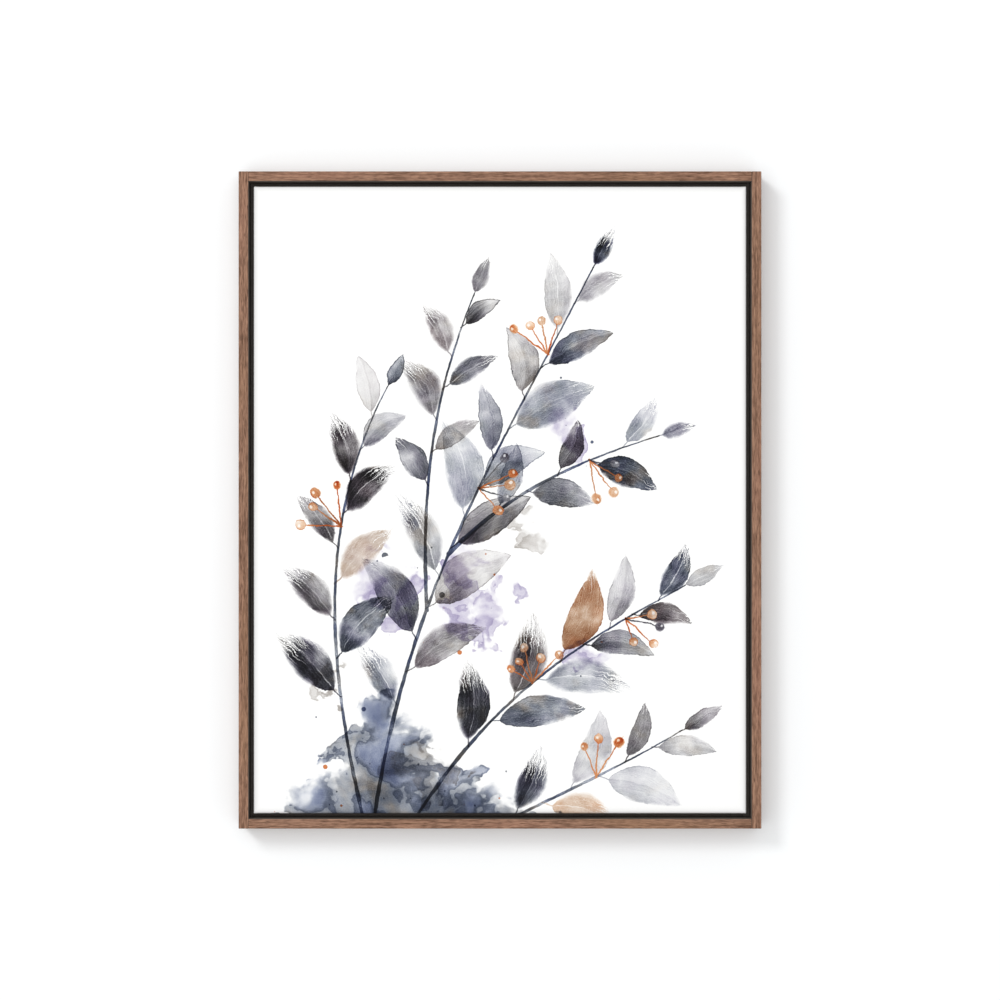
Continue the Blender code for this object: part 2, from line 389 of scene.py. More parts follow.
def attribute(tree, name):
    """What an attribute of the mesh holds: its Vector, and its Alpha if it has a fourth value."""
    return source(tree, "ShaderNodeAttribute", attribute_name=name)


def reckon(operation, *values, clamp=False):
    """Math for numbers, Vector Math for vectors, and for a vector times a number its Scale."""
    vectors = [is_vector(value) for value in values]
    inputs = dict(enumerate(values))
    if not any(vectors):
        made = new_node("ShaderNodeMath", inputs, operation=operation, use_clamp=clamp)
    elif all(vectors):
        made = new_node("ShaderNodeVectorMath", inputs, operation=operation)
    else:
        vector, number = sorted(values, key=is_vector, reverse=True)
        made = new_node("ShaderNodeVectorMath", {0: vector, "Scale": number}, operation="SCALE")
    return outputs(made)["Vector" if any(vectors) and operation != "LENGTH" else "Value"]


def times_plus(value, factor, more):
    """The value times the factor, plus more."""
    return reckon("MULTIPLY_ADD", value, factor, more)


def larger(first, second):
    return reckon("MAXIMUM", first, second)


def line(value, low, high, start=0.0, finish=1.0, shape="LINEAR"):
    """A straight ramp from start to finish as the value goes from low to high."""
    ends = {"Value": value, "From Min": low, "From Max": high, "To Min": start, "To Max": finish}
    return Value(new_node("ShaderNodeMapRange", ends, interpolation_type=shape).outputs[0])


def ease(*ends):
    """The same ramp as an S curve."""
    return line(*ends, shape="SMOOTHSTEP")


def over_unit(value, start, finish):
    """A straight ramp from start to finish as the value goes from 0 to 1."""
    return line(value, 0.0, 1.0, start, finish)


def over_noise(value, start, finish):
    """A straight ramp from start to finish over the range that noise mostly keeps to."""
    return line(value, 0.3, 0.7, start, finish)


def noise(place, scale, detail=2.0, roughness=0.5, distortion=0.0, gives="Fac"):
    """Cloudy noise with about as many clouds to a metre as the scale says."""
    looks = {"Scale": scale, "Detail": detail, "Roughness": roughness, "Distortion": distortion}
    return outputs(new_node("ShaderNodeTexNoise", {"Vector": place, **looks}))[gives]


def split(vector):
    """The three parts of a vector or colour."""
    return [Value(part) for part in new_node("ShaderNodeSeparateXYZ", {0: vector}).outputs]


def join(*parts):
    """A vector from its three parts."""
    return Value(new_node("ShaderNodeCombineXYZ", dict(enumerate(parts))).outputs[0])


def blend(first, second, share):
    """A colour part of the way from the first to the second."""
    first, second = (end if isinstance(end, Value) else (*end, 1.0) for end in (first, second))
    made = new_node("ShaderNodeMix", {0: share, 6: first, 7: second}, data_type="RGBA")
    return Value(made.outputs[2])


def mixed(first, second, share):
    """A vector part of the way from the first to the second."""
    made = new_node("ShaderNodeMix", {0: share, 4: first, 5: second}, data_type="VECTOR")
    return Value(made.outputs[1])


def bump(height, distance, strength):
    """The normal of a surface raised by the height times the distance."""
    inputs = {"Height": height, "Distance": distance, "Strength": strength}
    return Value(new_node("ShaderNodeBump", inputs).outputs[0])


def add_socket(tree, way, label, like):
    """A socket of a node group, for a number or a vector as the value it is to be like."""
    kind = "NodeSocketVector" if is_vector(like) else "NodeSocketFloat"
    return tree.interface.new_socket(label, in_out=way, socket_type=kind)


def node_group(name):
    """Make a function into a shader node group, which is built when it is first called.

    The function's arguments and their defaults become the group's inputs, and what it returns by
    name, the group's results. Each call lays the group once and gives its results by name.
    """

    def wrap(maker):
        signature = inspect.signature(maker)
        labels = {field: field.replace("_", " ").title() for field in signature.parameters}

        def build():
            tree = bpy.data.node_groups.new(name, "ShaderNodeTree")
            for field, label in labels.items():
                default = signature.parameters[field].default
                add_socket(tree, "INPUT", label, default).default_value = default
            given = outputs(tree.nodes.new("NodeGroupInput"))
            result = tree.nodes.new("NodeGroupOutput").inputs
            results = maker(*[given[label] for label in labels.values()])
            for label, value in results.items():
                add_socket(tree, "OUTPUT", label, value)
            feed(result, results)
            return tree

        @functools.wraps(maker)
        def lay(*inputs, **more):
            given = signature.bind(*inputs, **more).arguments
            given = {labels[field]: value for field, value in given.items()}
            tree = bpy.data.node_groups.get(name) or build()
            return outputs(new_node("ShaderNodeGroup", given, node_tree=tree))

        return lay

    return wrap


def material(name, **constants):
    """Make a function into a Principled material, which is built when it is first called.

    The constants go on its sockets. The function adds nodes to the material's tree and returns
    the colour, and where they change over the surface too, the roughness and the normal.
    """

    def wrap(maker):
        @functools.wraps(maker)
        def find_or_build(*inputs):
            made = bpy.data.materials.get(name)
            if made is None:
                made = bpy.data.materials.new(name)
                made.use_nodes = True
                shader = made.node_tree.nodes["Principled BSDF"].inputs
                feed(shader, {label.replace("_", " "): value for label, value in constants.items()})
                surface = maker(made.node_tree, *inputs)
                feed(shader, dict(zip(("Base Color", "Roughness", "Normal"), surface)))
            return made

        return find_or_build

    return wrap


# ---------------------------------------------------------------- effects that materials share


@node_group("Wood grain")
def wood_grain(
    place=POINT, ring_spacing=0.004, streak_scale=900.0, pore_scale=2100.0, pore_share=0.4
):
    """Solid wood grain about a pith line that runs along Z of the place it is given.

    Rings are the distance from the pith over their spacing; streaks and pores are noise drawn
    out along Z. Ring and Streak run from 0, dark, to 1, light. Height is for a bump.
    """
    slow = place * (1.0, 1.0, 0.09)
    wander = noise(slow, 28.0, gives="Color") - (0.5, 0.5, 0.5)
    bent = place + wander * 0.014
    from_pith = (bent + (0.045, 0.07, 0.0)) * (1.0, 1.0, 0.0)
    phase = reckon("FRACT", reckon("LENGTH", from_pith) / ring_spacing)
    ring = ease(phase, 0.0, 0.75) * ease(phase, 0.86, 1.0, 1.0, 0.0)
    long_streak = noise(bent * (1.0, 1.0, 0.04), streak_scale, 4.0, 0.62)
    short_streak = noise(bent * (1.4, 1.4, 0.14), streak_scale, 3.0, 0.6)
    streak = times_plus(long_streak, 0.55, short_streak * 0.45)
    pore_noise = noise(place * (1.0, 1.0, 0.05), pore_scale, 1.0)
    edge = over_unit(pore_share, 0.30, 0.55)
    pore = ease(pore_noise, edge, edge - 0.09)
    results = dict(Ring=ring, Streak=line(streak, 0.39, 0.61), Pore=pore)
    return dict(results, Drift=noise(slow, 60.0, 1.0), Height=streak * 0.25 - pore)


@node_group("Plain weave")
def plain_weave(place=POINT, thread=0.0008):
    """Plain weave on a flat place in metres: threads over and under each other by turns.

    Warp and weft are half-round ridges, |sin| across each thread; a chequer of the two picks
    which lies on top, and slow noise thickens some threads into slubs.
    """
    slub = noise(place * (1.0, 0.06, 1.0), 900.0, 1.0)
    slub_across = noise(place * (0.06, 1.0, 1.0), 900.0, 1.0)
    x, y, _ = split(place / join(thread, thread, 1.0))
    warp, weft = (abs(reckon("SINE", across * math.pi)) for across in (x, y))
    chequer = reckon("FLOORED_MODULO", reckon("FLOOR", x) + reckon("FLOOR", y), 2.0)
    warp = warp * times_plus(chequer, 0.5, 0.5)
    weft = weft * times_plus(chequer, -0.5, 1.0)
    return dict(Height=larger(warp, weft), Slub=(slub + slub_across) * 0.5)


@node_group("Fine wear")
def fine_wear(place=POINT, scale=400.0):
    """Fine scuffs and dust: Dust is a mask for settled specks, Scuff a finer change of gloss."""
    specks = noise(place, scale * 4.0, 2.0, 0.7)
    patches = noise(place, scale * 0.1)
    dust = ease(specks, 0.58, 0.72) * ease(patches, 0.4, 0.65)
    return dict(Dust=dust, Scuff=noise(place, scale, 3.0, 0.6))


# ---------------------------------------------------------------- materials


@material("Stained wood", Specular_IOR_Level=0.2)
def stained_wood(tree):
    """Open-pored hardwood under a thin satin stain, its grain along each member."""
    finish = bpy.context.scene.floater_moulding
    place = attribute(tree, "grain")["Vector"]
    grain = wood_grain(place, 0.0034, streak_scale=720.0, pore_scale=1900.0, pore_share=0.5)
    wear = fine_wear(place, 350.0)
    tone = times_plus(grain["Streak"], 0.92, grain["Ring"] * 0.08)
    tone = reckon("ADD", tone, over_noise(grain["Drift"], -0.07, 0.07), clamp=True)
    base = blend(finish.dark, finish.light, tone)
    pinkish = blend(base, display(160, 111, 93), ease(grain["Drift"], 0.5, 0.75, 0.0, 0.25))
    tawny = blend(pinkish, display(158, 120, 90), ease(grain["Drift"], 0.5, 0.28, 0.0, 0.35))
    colour = blend(tawny, finish.pore, grain["Pore"] * 0.75)
    return colour, over_noise(wear["Scuff"], 0.46, 0.62), bump(grain["Height"], 0.00012, 0.6)


@material("Recess black", Specular_IOR_Level=0.5)
def recess_black(tree):
    """Matt black paint brushed on the wood inside the recess, with a little dust."""
    place = attribute(tree, "grain")["Vector"]
    grain = wood_grain(place, streak_scale=1100.0)
    wear = fine_wear(place, 500.0)
    recess = bpy.context.scene.floater_moulding.recess
    colour = blend(recess, display(102, 96, 89), wear["Dust"] * 0.3)
    return colour, over_noise(wear["Scuff"], 0.55, 0.75), bump(grain["Height"], 0.00005, 0.5)


@material("Planed pine", Specular_IOR_Level=0.25)
def planed_pine(tree):
    """Bare softwood: wide pale spring wood, thin ochre summer rings and the odd knot."""
    finish = bpy.context.scene.floater_moulding
    place = attribute(tree, "grain")["Vector"]
    cells = {"Vector": place * (1.0, 1.0, 0.35), "Scale": 14.0}
    knots = outputs(new_node("ShaderNodeTexVoronoi", cells))["Distance"]
    pushed = place + join(ease(knots, 0.0, 0.26, 1.0, 0.0) * 0.012, 0.0, 0.0)
    grain = wood_grain(pushed, 0.0034, streak_scale=1400.0, pore_scale=3000.0, pore_share=0.12)
    wear = fine_wear(place, 300.0)
    ring = grain["Ring"] * over_unit(grain["Streak"], 0.7, 1.0)
    base = blend(finish.pine, finish.pine_ring, ring)
    knotted = blend(base, display(140, 88, 48), ease(knots, 0.03, 0.075, 0.85, 0.0))
    colour = blend(knotted, display(176, 150, 116), wear["Dust"])
    return colour, over_unit(grain["Streak"], 0.6, 0.75), bump(grain["Height"], 0.0001, 0.5)


def scuffed(tree, scale, clean, dusty, gloss, raised):
    """A plain finish with scuffs in its gloss and a few dull specks, on the object's own place."""
    wear = fine_wear(source(tree, "ShaderNodeTexCoord")["Object"], scale)
    colour = blend(display(*clean), display(*dusty), wear["Dust"])
    return colour, over_noise(wear["Scuff"], *gloss), bump(wear["Scuff"], *raised)


@material("Plated steel", Metallic=1.0)
def plated_steel(tree):
    return scuffed(
        tree, 900.0, (206, 200, 178), (120, 116, 108), gloss=(0.22, 0.4), raised=(0.00002, 0.4)
    )


@material("Galvanised sheet", Metallic=1.0)
def galvanised(tree):
    return scuffed(
        tree, 900.0, (190, 193, 196), (120, 116, 108), gloss=(0.32, 0.5), raised=(0.00002, 0.4)
    )


@material("Grey rubber", Specular_IOR_Level=0.4)
def grey_rubber(tree):
    """Soft matt rubber with a faint bloom."""
    return scuffed(tree, 700.0, (58, 58, 60), (92, 90, 88), gloss=(0.7, 0.9), raised=(0.00003, 0.5))


@material("Raw cotton", Specular_IOR_Level=0.15, Sheen_Weight=0.15)
def raw_cotton(tree):
    """Unprimed weave, as seen from behind the picture, with painted shade in the weave's hollows.
    """
    finish = bpy.context.scene.floater_cloth
    place = source(tree, "ShaderNodeUVMap", uv_map="cloth")["UV"]
    weave = plain_weave(place, finish.thread)
    slow = noise(place, 14.0)
    # Painted shade: the colour darkens where the weave lies low, times a slow random change of tone
    tone = over_unit(weave["Height"], 0.82, 1.0) * over_noise(slow, 0.98, 1.01)
    fleck = ease(noise(place, 700.0, 2.0, 0.7), 0.7, 0.78)
    cotton = blend(POINT, finish.raw, tone * over_noise(weave["Slub"], 0.93, 1.05))
    colour = blend(cotton, display(150, 122, 84), fleck * 0.7)
    return colour, over_unit(weave["Height"], 0.95, 0.85), bump(weave["Height"], 0.00025, 0.8)


# ---------------------------------------------------------------- the printed watercolour

# How far apart strokes on one layer are, and how far round a stroke or a stem its place holds
CLEARANCE = 0.012
STROKE_REACH = 0.0024
STEM_REACH = 0.0034
# How far past the face the print goes on, and by what share and over what reach the ground is
# darkened towards the face's edge, as painted shade that stands for the shade of the frame's recess
PRINT_TURN = 0.016
GREYING, GREYING_REACH = 0.16, 0.0026

# Branches as four control points of a cubic curve on the flat cloth, measured from its middle,
# with the number of leaves along it, their length, and where the first one stands
BRANCHES = [
    ([(-0.150, -0.420), (-0.120, -0.130), (-0.020, 0.020), (0.105, 0.262)], 15, 0.088, 0.24),
    ([(-0.140, -0.420), (-0.205, -0.180), (-0.205, -0.020), (-0.128, 0.128)], 10, 0.078, 0.30),
    ([(-0.130, -0.420), (-0.030, -0.230), (0.085, -0.165), (0.208, -0.098)], 10, 0.082, 0.30),
    ([(-0.058, -0.061), (0.010, 0.010), (0.090, 0.045), (0.178, 0.072)], 6, 0.066, 0.26),
    ([(-0.083, -0.124), (-0.090, 0.020), (-0.075, 0.120), (-0.030, 0.232)], 7, 0.066, 0.36),
    ([(-0.090, -0.420), (0.020, -0.350), (0.110, -0.320), (0.205, -0.262)], 7, 0.078, 0.34),
]

# Sprigs of berries: branch, how far along it, the way it leans in degrees, and its berries
SPRIGS = [
    (0, 0.62, -62, 5),
    (0, 0.86, 46, 4),
    (1, 0.66, 55, 4),
    (2, 0.52, 60, 5),
    (2, 0.82, -60, 4),
    (3, 0.70, -66, 4),
    (5, 0.66, 58, 3),
]

# Where a stroke's row of values holds its half-width, and its tone, hue, kind and seed
STROKE_HALF = 4
STROKE_PAINT = slice(7, 11)

# Soft washes of slate, lavender and umber: middle, half-widths and strength of each spot
WASHES = [
    [
        (-0.150, -0.380, 0.100, 0.076, 1.0),
        (-0.065, -0.360, 0.075, 0.054, 0.85),
        (-0.130, -0.280, 0.045, 0.066, 0.62),
        (0.035, -0.384, 0.070, 0.032, 0.62),
    ],
    [
        (-0.030, -0.110, 0.062, 0.080, 0.55),
        (-0.135, -0.095, 0.040, 0.070, 0.46),
        (0.070, 0.070, 0.036, 0.060, 0.44),
        (0.100, -0.180, 0.052, 0.030, 0.46),
    ],
    [
        (-0.080, -0.310, 0.060, 0.045, 0.6),
        (0.035, -0.030, 0.035, 0.050, 0.45),
        (-0.185, -0.200, 0.040, 0.060, 0.5),
    ],
]


def cubic(controls, t):
    """Points and unit directions on a cubic curve at each t."""
    a, b, c, d = (np.array(p, float) for p in controls)
    t = np.asarray(t, float)[..., None]
    point = (1 - t) ** 3 * a + 3 * (1 - t) ** 2 * t * b + 3 * (1 - t) * t**2 * c + t**3 * d
    way = (1 - t) ** 2 * (b - a) + 2 * (1 - t) * t * (c - b) + t**2 * (d - c)
    return point, way / np.linalg.norm(way, axis=-1, keepdims=True)


def leaf_strokes(rng):
    """Leaves by turns on either side of each branch, smaller towards its tip, and one on the tip.

    A stroke is its base, angle, length, half-width, bend, stalk, tone, hue, kind and seed.
    """
    tones, odds = [0.4, 0.65, 0.95, 1.3, 1.75], [0.18, 0.24, 0.25, 0.2, 0.13]
    strokes = []
    for controls, count, size, first in BRANCHES:
        steps = np.linspace(first, 1.0, count)
        for number, (t, point, way) in enumerate(zip(steps, *cubic(controls, steps))):
            hand = 0 if number == count - 1 else (-1) ** number
            swell = 0.62 + 0.45 * math.sin(math.pi * (0.12 + 0.8 * t))
            length = size * swell * rng.uniform(0.82, 1.15)
            length *= 1.0 if hand else 0.8
            half = length * rng.uniform(0.17, 0.235)
            angle = math.atan2(way[1], way[0]) + hand * (rng.uniform(0.72, 1.0) - 0.25 * t)
            stalk = rng.uniform(0.08, 0.14)
            base = point + stalk * length * np.array([math.cos(angle), math.sin(angle)])
            tone = rng.choice(tones, p=odds) * (1.2 - 0.35 * t)
            plain = rng.uniform() < 0.93
            hue = rng.uniform(0.0, 0.2) if plain else rng.uniform(0.45, 0.8)
            tone *= 1.0 if plain else 0.6
            bend = -hand * rng.uniform(0.2, 0.7)
            strokes.append([*base, angle, length, half, bend, stalk, tone, hue, 1.0, rng.uniform()])
    return strokes


def berry_strokes(rng):
    """Sprigs of round berries, each on a stalk of its own from one point of the branch."""
    strokes = []
    for branch, t, lean, count in SPRIGS:
        point, way = cubic(BRANCHES[branch][0], t)
        middle = math.atan2(way[1], way[0]) + math.radians(lean)
        for number in range(count):
            radius = rng.uniform(0.0046, 0.0064)
            reach = rng.uniform(0.022, 0.044)
            angle = middle + (number - (count - 1) / 2) * 0.44 + rng.uniform(-0.08, 0.08)
            base = point + reach * np.array([math.cos(angle), math.sin(angle)])
            hue = rng.uniform(0.8, 1.0) if rng.uniform() < 0.82 else 0.1
            shape = [angle, 2 * radius, radius, 0, reach / (2 * radius)]
            strokes.append([*base, *shape, rng.uniform(0.7, 1.15), hue, 0.0, rng.uniform()])
    return strokes


def stroke_places(strokes, points):
    """Where each point lies on each stroke: t from its base to its tip, s across in half-widths.

    A bent stroke's middle line is a parabola. Gap is about how far the point is outside the
    stroke, taken as round-sided with its stalk as a line.
    """
    base, angle = strokes[:, 0:2], strokes[:, 2]
    length, half, bend, stalk = strokes[:, 3:7].T
    away = points[:, None, :] - base[None]
    t = (away[..., 0] * np.cos(angle) + away[..., 1] * np.sin(angle)) / length
    s = (away[..., 1] * np.cos(angle) - away[..., 0] * np.sin(angle)) / half
    arch = np.clip(4 * t * (1 - t), 0, 1)
    s = s - bend * arch
    beyond = np.maximum(np.maximum(-t - stalk, t - 1), 0) * length
    beside = np.maximum(np.abs(s) - np.sqrt(arch), 0) * half
    return t, s, np.hypot(beyond, beside)


def stroke_outline(stroke):
    """Points along the sides, the middle line and the stalk of one stroke."""
    base, (angle, length, half, bend, stalk) = stroke[0:2], stroke[2:7]
    t, s = np.meshgrid(np.linspace(0, 1, 9), (-1, 0, 1))
    along = np.concatenate([t.ravel(), np.linspace(-stalk, 0, 5)]) * length
    across = np.concatenate([(s * np.sqrt(4 * t * (1 - t))).ravel(), np.zeros(5)]) * half
    across += bend * half * np.clip(4 * along / length * (1 - along / length), 0, 1)
    turn = [[math.cos(angle), math.sin(angle)], [-math.sin(angle), math.cos(angle)]]
    return np.stack([along, across], axis=-1) @ np.array(turn) + base


def layer_strokes(strokes):
    """Share the strokes among layers so that none comes near another on its own layer.

    Strokes are laid in turn, each on the first layer where every stroke is further off than the
    clearance, or on a new layer.
    """
    outlines = [stroke_outline(stroke) for stroke in strokes]
    layers = []
    for number, outline in enumerate(outlines):
        for layer in layers:
            near = np.concatenate([outlines[other] for other in layer])
            if np.linalg.norm(outline[:, None] - near, axis=-1).min() > CLEARANCE:
                layer.append(number)
                break
        else:
            layers.append([number])
    return [strokes[layer] for layer in layers]


def stem_place(controls, points):
    """Where each point lies by a branch: t along it, the distance to one side, and how far off."""
    steps = np.linspace(0, 1, 200)
    stem, ways = cubic(controls, steps)
    nearest = ((points[:, None, :] - stem) ** 2).sum(axis=-1).argmin(axis=1)
    away, way = points - stem[nearest], ways[nearest]
    side = away[:, 1] * way[:, 0] - away[:, 0] * way[:, 1]
    at_end = (nearest == 0) | (nearest == len(steps) - 1)
    off = np.hypot(side, np.where(at_end, (away * way).sum(axis=1), 0))
    return np.stack([steps[nearest], side, off], axis=-1)


def wash_field(spots, points):
    """The sum of soft spots, each falling off from its middle as a bell."""
    spots = np.array(spots)
    away = (points[:, None, :] - spots[None, :, 0:2]) / spots[None, :, 2:4]
    return (spots[:, 4] * np.exp(-(away**2).sum(axis=-1))).sum(axis=1)


def picture_layers(seed):
    """The picture's leaves and berries in layers, each an array with one row for a stroke."""
    rng = np.random.default_rng(seed)
    return layer_strokes(np.array(leaf_strokes(rng) + berry_strokes(rng)))


def add_painting(mesh, points, layers):
    """Give each mesh point its place on the strokes, stems and washes of the picture."""
    row = np.arange(len(points))
    for number, layer in enumerate(layers):
        t, s, gap = stroke_places(layer, points)
        mine = gap.argmin(axis=1)
        half = layer[mine, STROKE_HALF]
        place = np.stack([t[row, mine], s[row, mine], gap[row, mine], half], axis=-1)
        add_attribute(mesh, f"stroke_{number}", "FLOAT_COLOR", place)
        add_attribute(mesh, f"pigment_{number}", "FLOAT_COLOR", layer[mine, STROKE_PAINT])
    for number, (controls, *_) in enumerate(BRANCHES):
        add_attribute(mesh, f"stem_{number}", "FLOAT_VECTOR", stem_place(controls, points))
    washes = [wash_field(spots, points) for spots in WASHES]
    add_attribute(mesh, "washes", "FLOAT_VECTOR", np.stack(washes, axis=-1))


@node_group("Brush stroke")
def brush_stroke(
    place=POINT, half=0.0, paint=POINT, seed=0.0, fray=POINT, flow=POINT, grains=0.0
):
    """The depth of paint in a leaf or berry.

    Half-width follows (4t(1 - t)) to a power: a half for a round berry, more for a pointed leaf.
    Inside the ragged edge the wash pools to a dark rim and at the base, thins where it flowed,
    shows the brush's hairs, keeps a pale rib and leaves a highlight on a berry. Some leaves run
    dry towards the tip. The stalk is a thin line before t = 0. Leaf and Berry are the depths of
    grey and of russet, and Berry's third value is how far it covers what lies behind it.
    """
    fray_s, fray_t, _ = split(fray)
    flow, wet, drift = split(flow)
    tone, hue, kind = split(times_plus(fray, (40.0, 10.0, 0.01), paint))
    seed = times_plus(fray_s, 16.0, seed)
    half = times_plus(fray_t, 0.1, half)
    along = fray_t / (half * over_unit(kind, 2.0, 5.0))
    t, s, gap = split(place + join(along, fray_s / half, 0.0))

    # The brush's hairs, its outline and how far in from it a point lies
    hair = s * half * 900.0
    hair = hair + (seed + flow * 0.05) * 60.0
    inputs = {"W": hair, "Scale": 1.0, "Detail": 1.0}
    hairs = outputs(new_node("ShaderNodeTexNoise", inputs, noise_dimensions="1D"))["Fac"]
    hairs = times_plus(grains - 1.0, 0.25, hairs)
    arch = larger(t * (1.0 - t) * 4.0, 0.0)
    width = reckon("POWER", arch, over_unit(kind, 0.5, 0.86))
    width = width * times_plus(kind * (0.5 - t), 0.5, 1.0)
    side = abs(s)
    edge = (width - side) * half

    # Where paint covers the ground, and the dark rim
    wetness = ease(times_plus(seed, 0.25, wet), 0.54, 0.8)
    soft = times_plus(wetness, half * 0.4, 0.00028)
    cover = ease(edge, soft * -0.35, soft)
    dry = ease(times_plus(seed, 0.6, t), 0.7, 1.45, 0.0, kind * 0.62)
    cover = cover * ease(hairs, dry - 0.06, dry + 0.03)
    rim = ease(edge, 0.0001, 0.0015, 1.0, 0.0) * (1.0 - wetness)

    # How much paint lies inside it
    run = times_plus(t, times_plus(seed, 1.6, -0.9), 0.75)
    body = larger(run, 0.25) * line(flow, 0.32, 0.68, 0.35, 1.45)
    body = body * over_noise(hairs, 0.72, 1.28)
    halves = reckon("SIGN", s) * times_plus(seed, 0.7, -0.35)
    body = body * times_plus(halves * kind, 0.8, 1.0)
    body = times_plus(ease(t, 0.0, 0.4, 0.7, 0.0), seed * kind, body)
    off_middle = side * half
    rib = ease(off_middle, 0.0002, 0.0007, 0.75, 0.0)
    rib = rib * (kind * ease(t, 0.6, 0.92, 1.0, 0.0))
    rib = rib * (ease(seed, 0.35, 0.5) * ease(wet, 0.42, 0.6, 1.0, 0.3))
    off_glint = reckon("LENGTH", join(t - 0.62, (s - 0.3) * 0.5, 0.0))
    glint = ease(off_glint, 0.10, 0.20, 0.85, 0.0) * (1.0 - kind)
    depth = times_plus(rim, 0.55, body)
    depth = depth * (1.0 - larger(rib, glint))
    depth = depth * cover * grains

    # The stalk, and how the depth is shared between grey and russet
    stalk = ease(times_plus(t, 0.00012, off_middle), 0.00035, 0.0008, 1.0, 0.0) * (t < 0.06)
    depth = larger(depth, stalk * over_noise(flow, 0.6, 1.2))
    inside = gap < STROKE_REACH
    depth = depth * tone * inside
    hue = reckon("ADD", hue, line(drift, 0.35, 0.65, -0.08, 0.12), clamp=True)
    warm = depth * hue
    covered = larger(cover, stalk) * inside
    laid_on = join(depth - warm, warm, 0.0)
    leaf = laid_on * kind
    return dict(Leaf=leaf, Berry=(laid_on + join(0.0, 0.0, covered)) * (1.0 - kind))


@node_group("Stem stroke")
def stem_stroke(place=POINT, fray=POINT, flow=POINT, grains=0.0):
    """The depth of paint in a branch: a tapering line with wavering edges, dry in places."""
    t, side, off = split(place)
    fray, _, _ = split(fray)
    flow, wet, _ = split(flow)
    half = over_unit(t, 0.0024, 0.0007) * over_noise(wet, 0.75, 1.3)
    edge = half - abs(side + fray * 0.35)
    cover = ease(edge, -0.0001, 0.00035)
    rim = ease(edge, 0.0001, 0.0007, 0.5, 0.0)
    dry = line(grains * line(flow, 0.35, 0.65, 0.75, 1.25), 0.55, 0.9, 0.15, 1.0)
    depth = (over_noise(flow, 0.6, 1.25) + rim) * (cover * dry)
    return dict(Depth=depth * (off < STEM_REACH))


@node_group("Wash")
def soft_wash(field=0.0, shift=0.0, flow=POINT, fray=POINT, grains=0.0):
    """The depth of paint in a soft wash, from its field.

    Where the sheet was dry the wash ends in a ragged dark rim, where it was wet it fades out.
    Backruns darken one side of a slow wandering line.
    """
    flow, wet, drift = split(flow)
    fray, _, _ = split(fray)
    wander = times_plus(flow + drift - 1.0, 1.2, fray * 24.0)
    wander = wander * ease(field, 0.10, 0.34)
    field = field + wander + shift
    soft = ease(wet, 0.44, 0.6, 0.035, 0.5)
    cover = ease(field, 0.30, soft + 0.30)
    rim = ease(field, 0.31, 0.38, 0.5, 0.0) * ease(wet, 0.42, 0.55, 1.0, 0.0)
    past = times_plus(fray, 16.0, drift - 0.5)
    backrun = ease(past, 0.0, 0.09, 0.42, 0.0) * ease(past, -0.012, 0.0)
    body = times_plus(field, 0.6, 0.1) * line(flow, 0.35, 0.65, 0.7, 1.3)
    body = body + (rim + backrun)
    return dict(Depth=body * cover * grains)


@node_group("Splatter")
def splatter(place=POINT, cells=60.0, near=0.0, fray=POINT):
    """The depth of paint in flicked drops: one round drop in some of the cells, of any size."""
    inputs = {"Vector": place + fray * 0.25, "Scale": cells}
    cell = outputs(new_node("ShaderNodeTexVoronoi", inputs, voronoi_dimensions="2D"))
    size, chance, pick = split(cell["Color"])
    edge = reckon("POWER", size, 3.0) * 0.17 - cell["Distance"]
    drop = ease(edge, 0.0, 0.018, 0.0, 0.7) + ease(edge, 0.004, 0.03, 0.5, 0.0)
    drop = drop * (edge > 0.0)
    return dict(Depth=drop * (chance < near), Pick=pick)


def absorbing(colour):
    """How strongly a pigment takes each colour of light: the log of its full-strength colour."""
    return tuple(-math.log(max(channel, 0.002)) for channel in colour)


def painted_strokes(tree, layer_count, fray, flow, grains):
    """The depths of paint in all the leaves, berries and stems."""
    leaves, berries, stems = POINT, POINT, 0.0
    for number in range(layer_count):
        at, mark = attribute(tree, f"stroke_{number}"), attribute(tree, f"pigment_{number}")
        row = at["Vector"], at["Alpha"], mark["Vector"], mark["Alpha"]
        stroke = brush_stroke(*row, fray, flow, grains)
        leaves = leaves + stroke["Leaf"]
        berries = larger(berries, stroke["Berry"])
    for number in range(len(BRANCHES)):
        at = attribute(tree, f"stem_{number}")["Vector"]
        stems = larger(stems, stem_stroke(at, fray, flow, grains)["Depth"])
    return leaves, berries, stems


def painted_washes(fields, flow, fray, grains):
    """The depth of paint in each wash, with the flow moved on so that no two are alike."""
    washes = []
    for number, (field, shift) in enumerate(zip(fields, (0.0, -0.03, -0.05))):
        moved = flow + (0.03 * number, 0.0, -0.03 * number)
        washes.append(soft_wash(field, shift, moved, fray, grains)["Depth"])
    return washes


def painted_drops(place, near, fray):
    """The depths of grey and of russet in large and in small flicked drops."""
    cool, warm = 0.0, 0.0
    for cells, share in ((46.0, 0.9), (130.0, 0.5)):
        drops = splatter(place, cells, near * share, fray)
        warm_drop = drops["Depth"] * (drops["Pick"] > 0.72)
        warm = warm + warm_drop
        cool = cool + (drops["Depth"] - warm_drop)
    return cool, warm


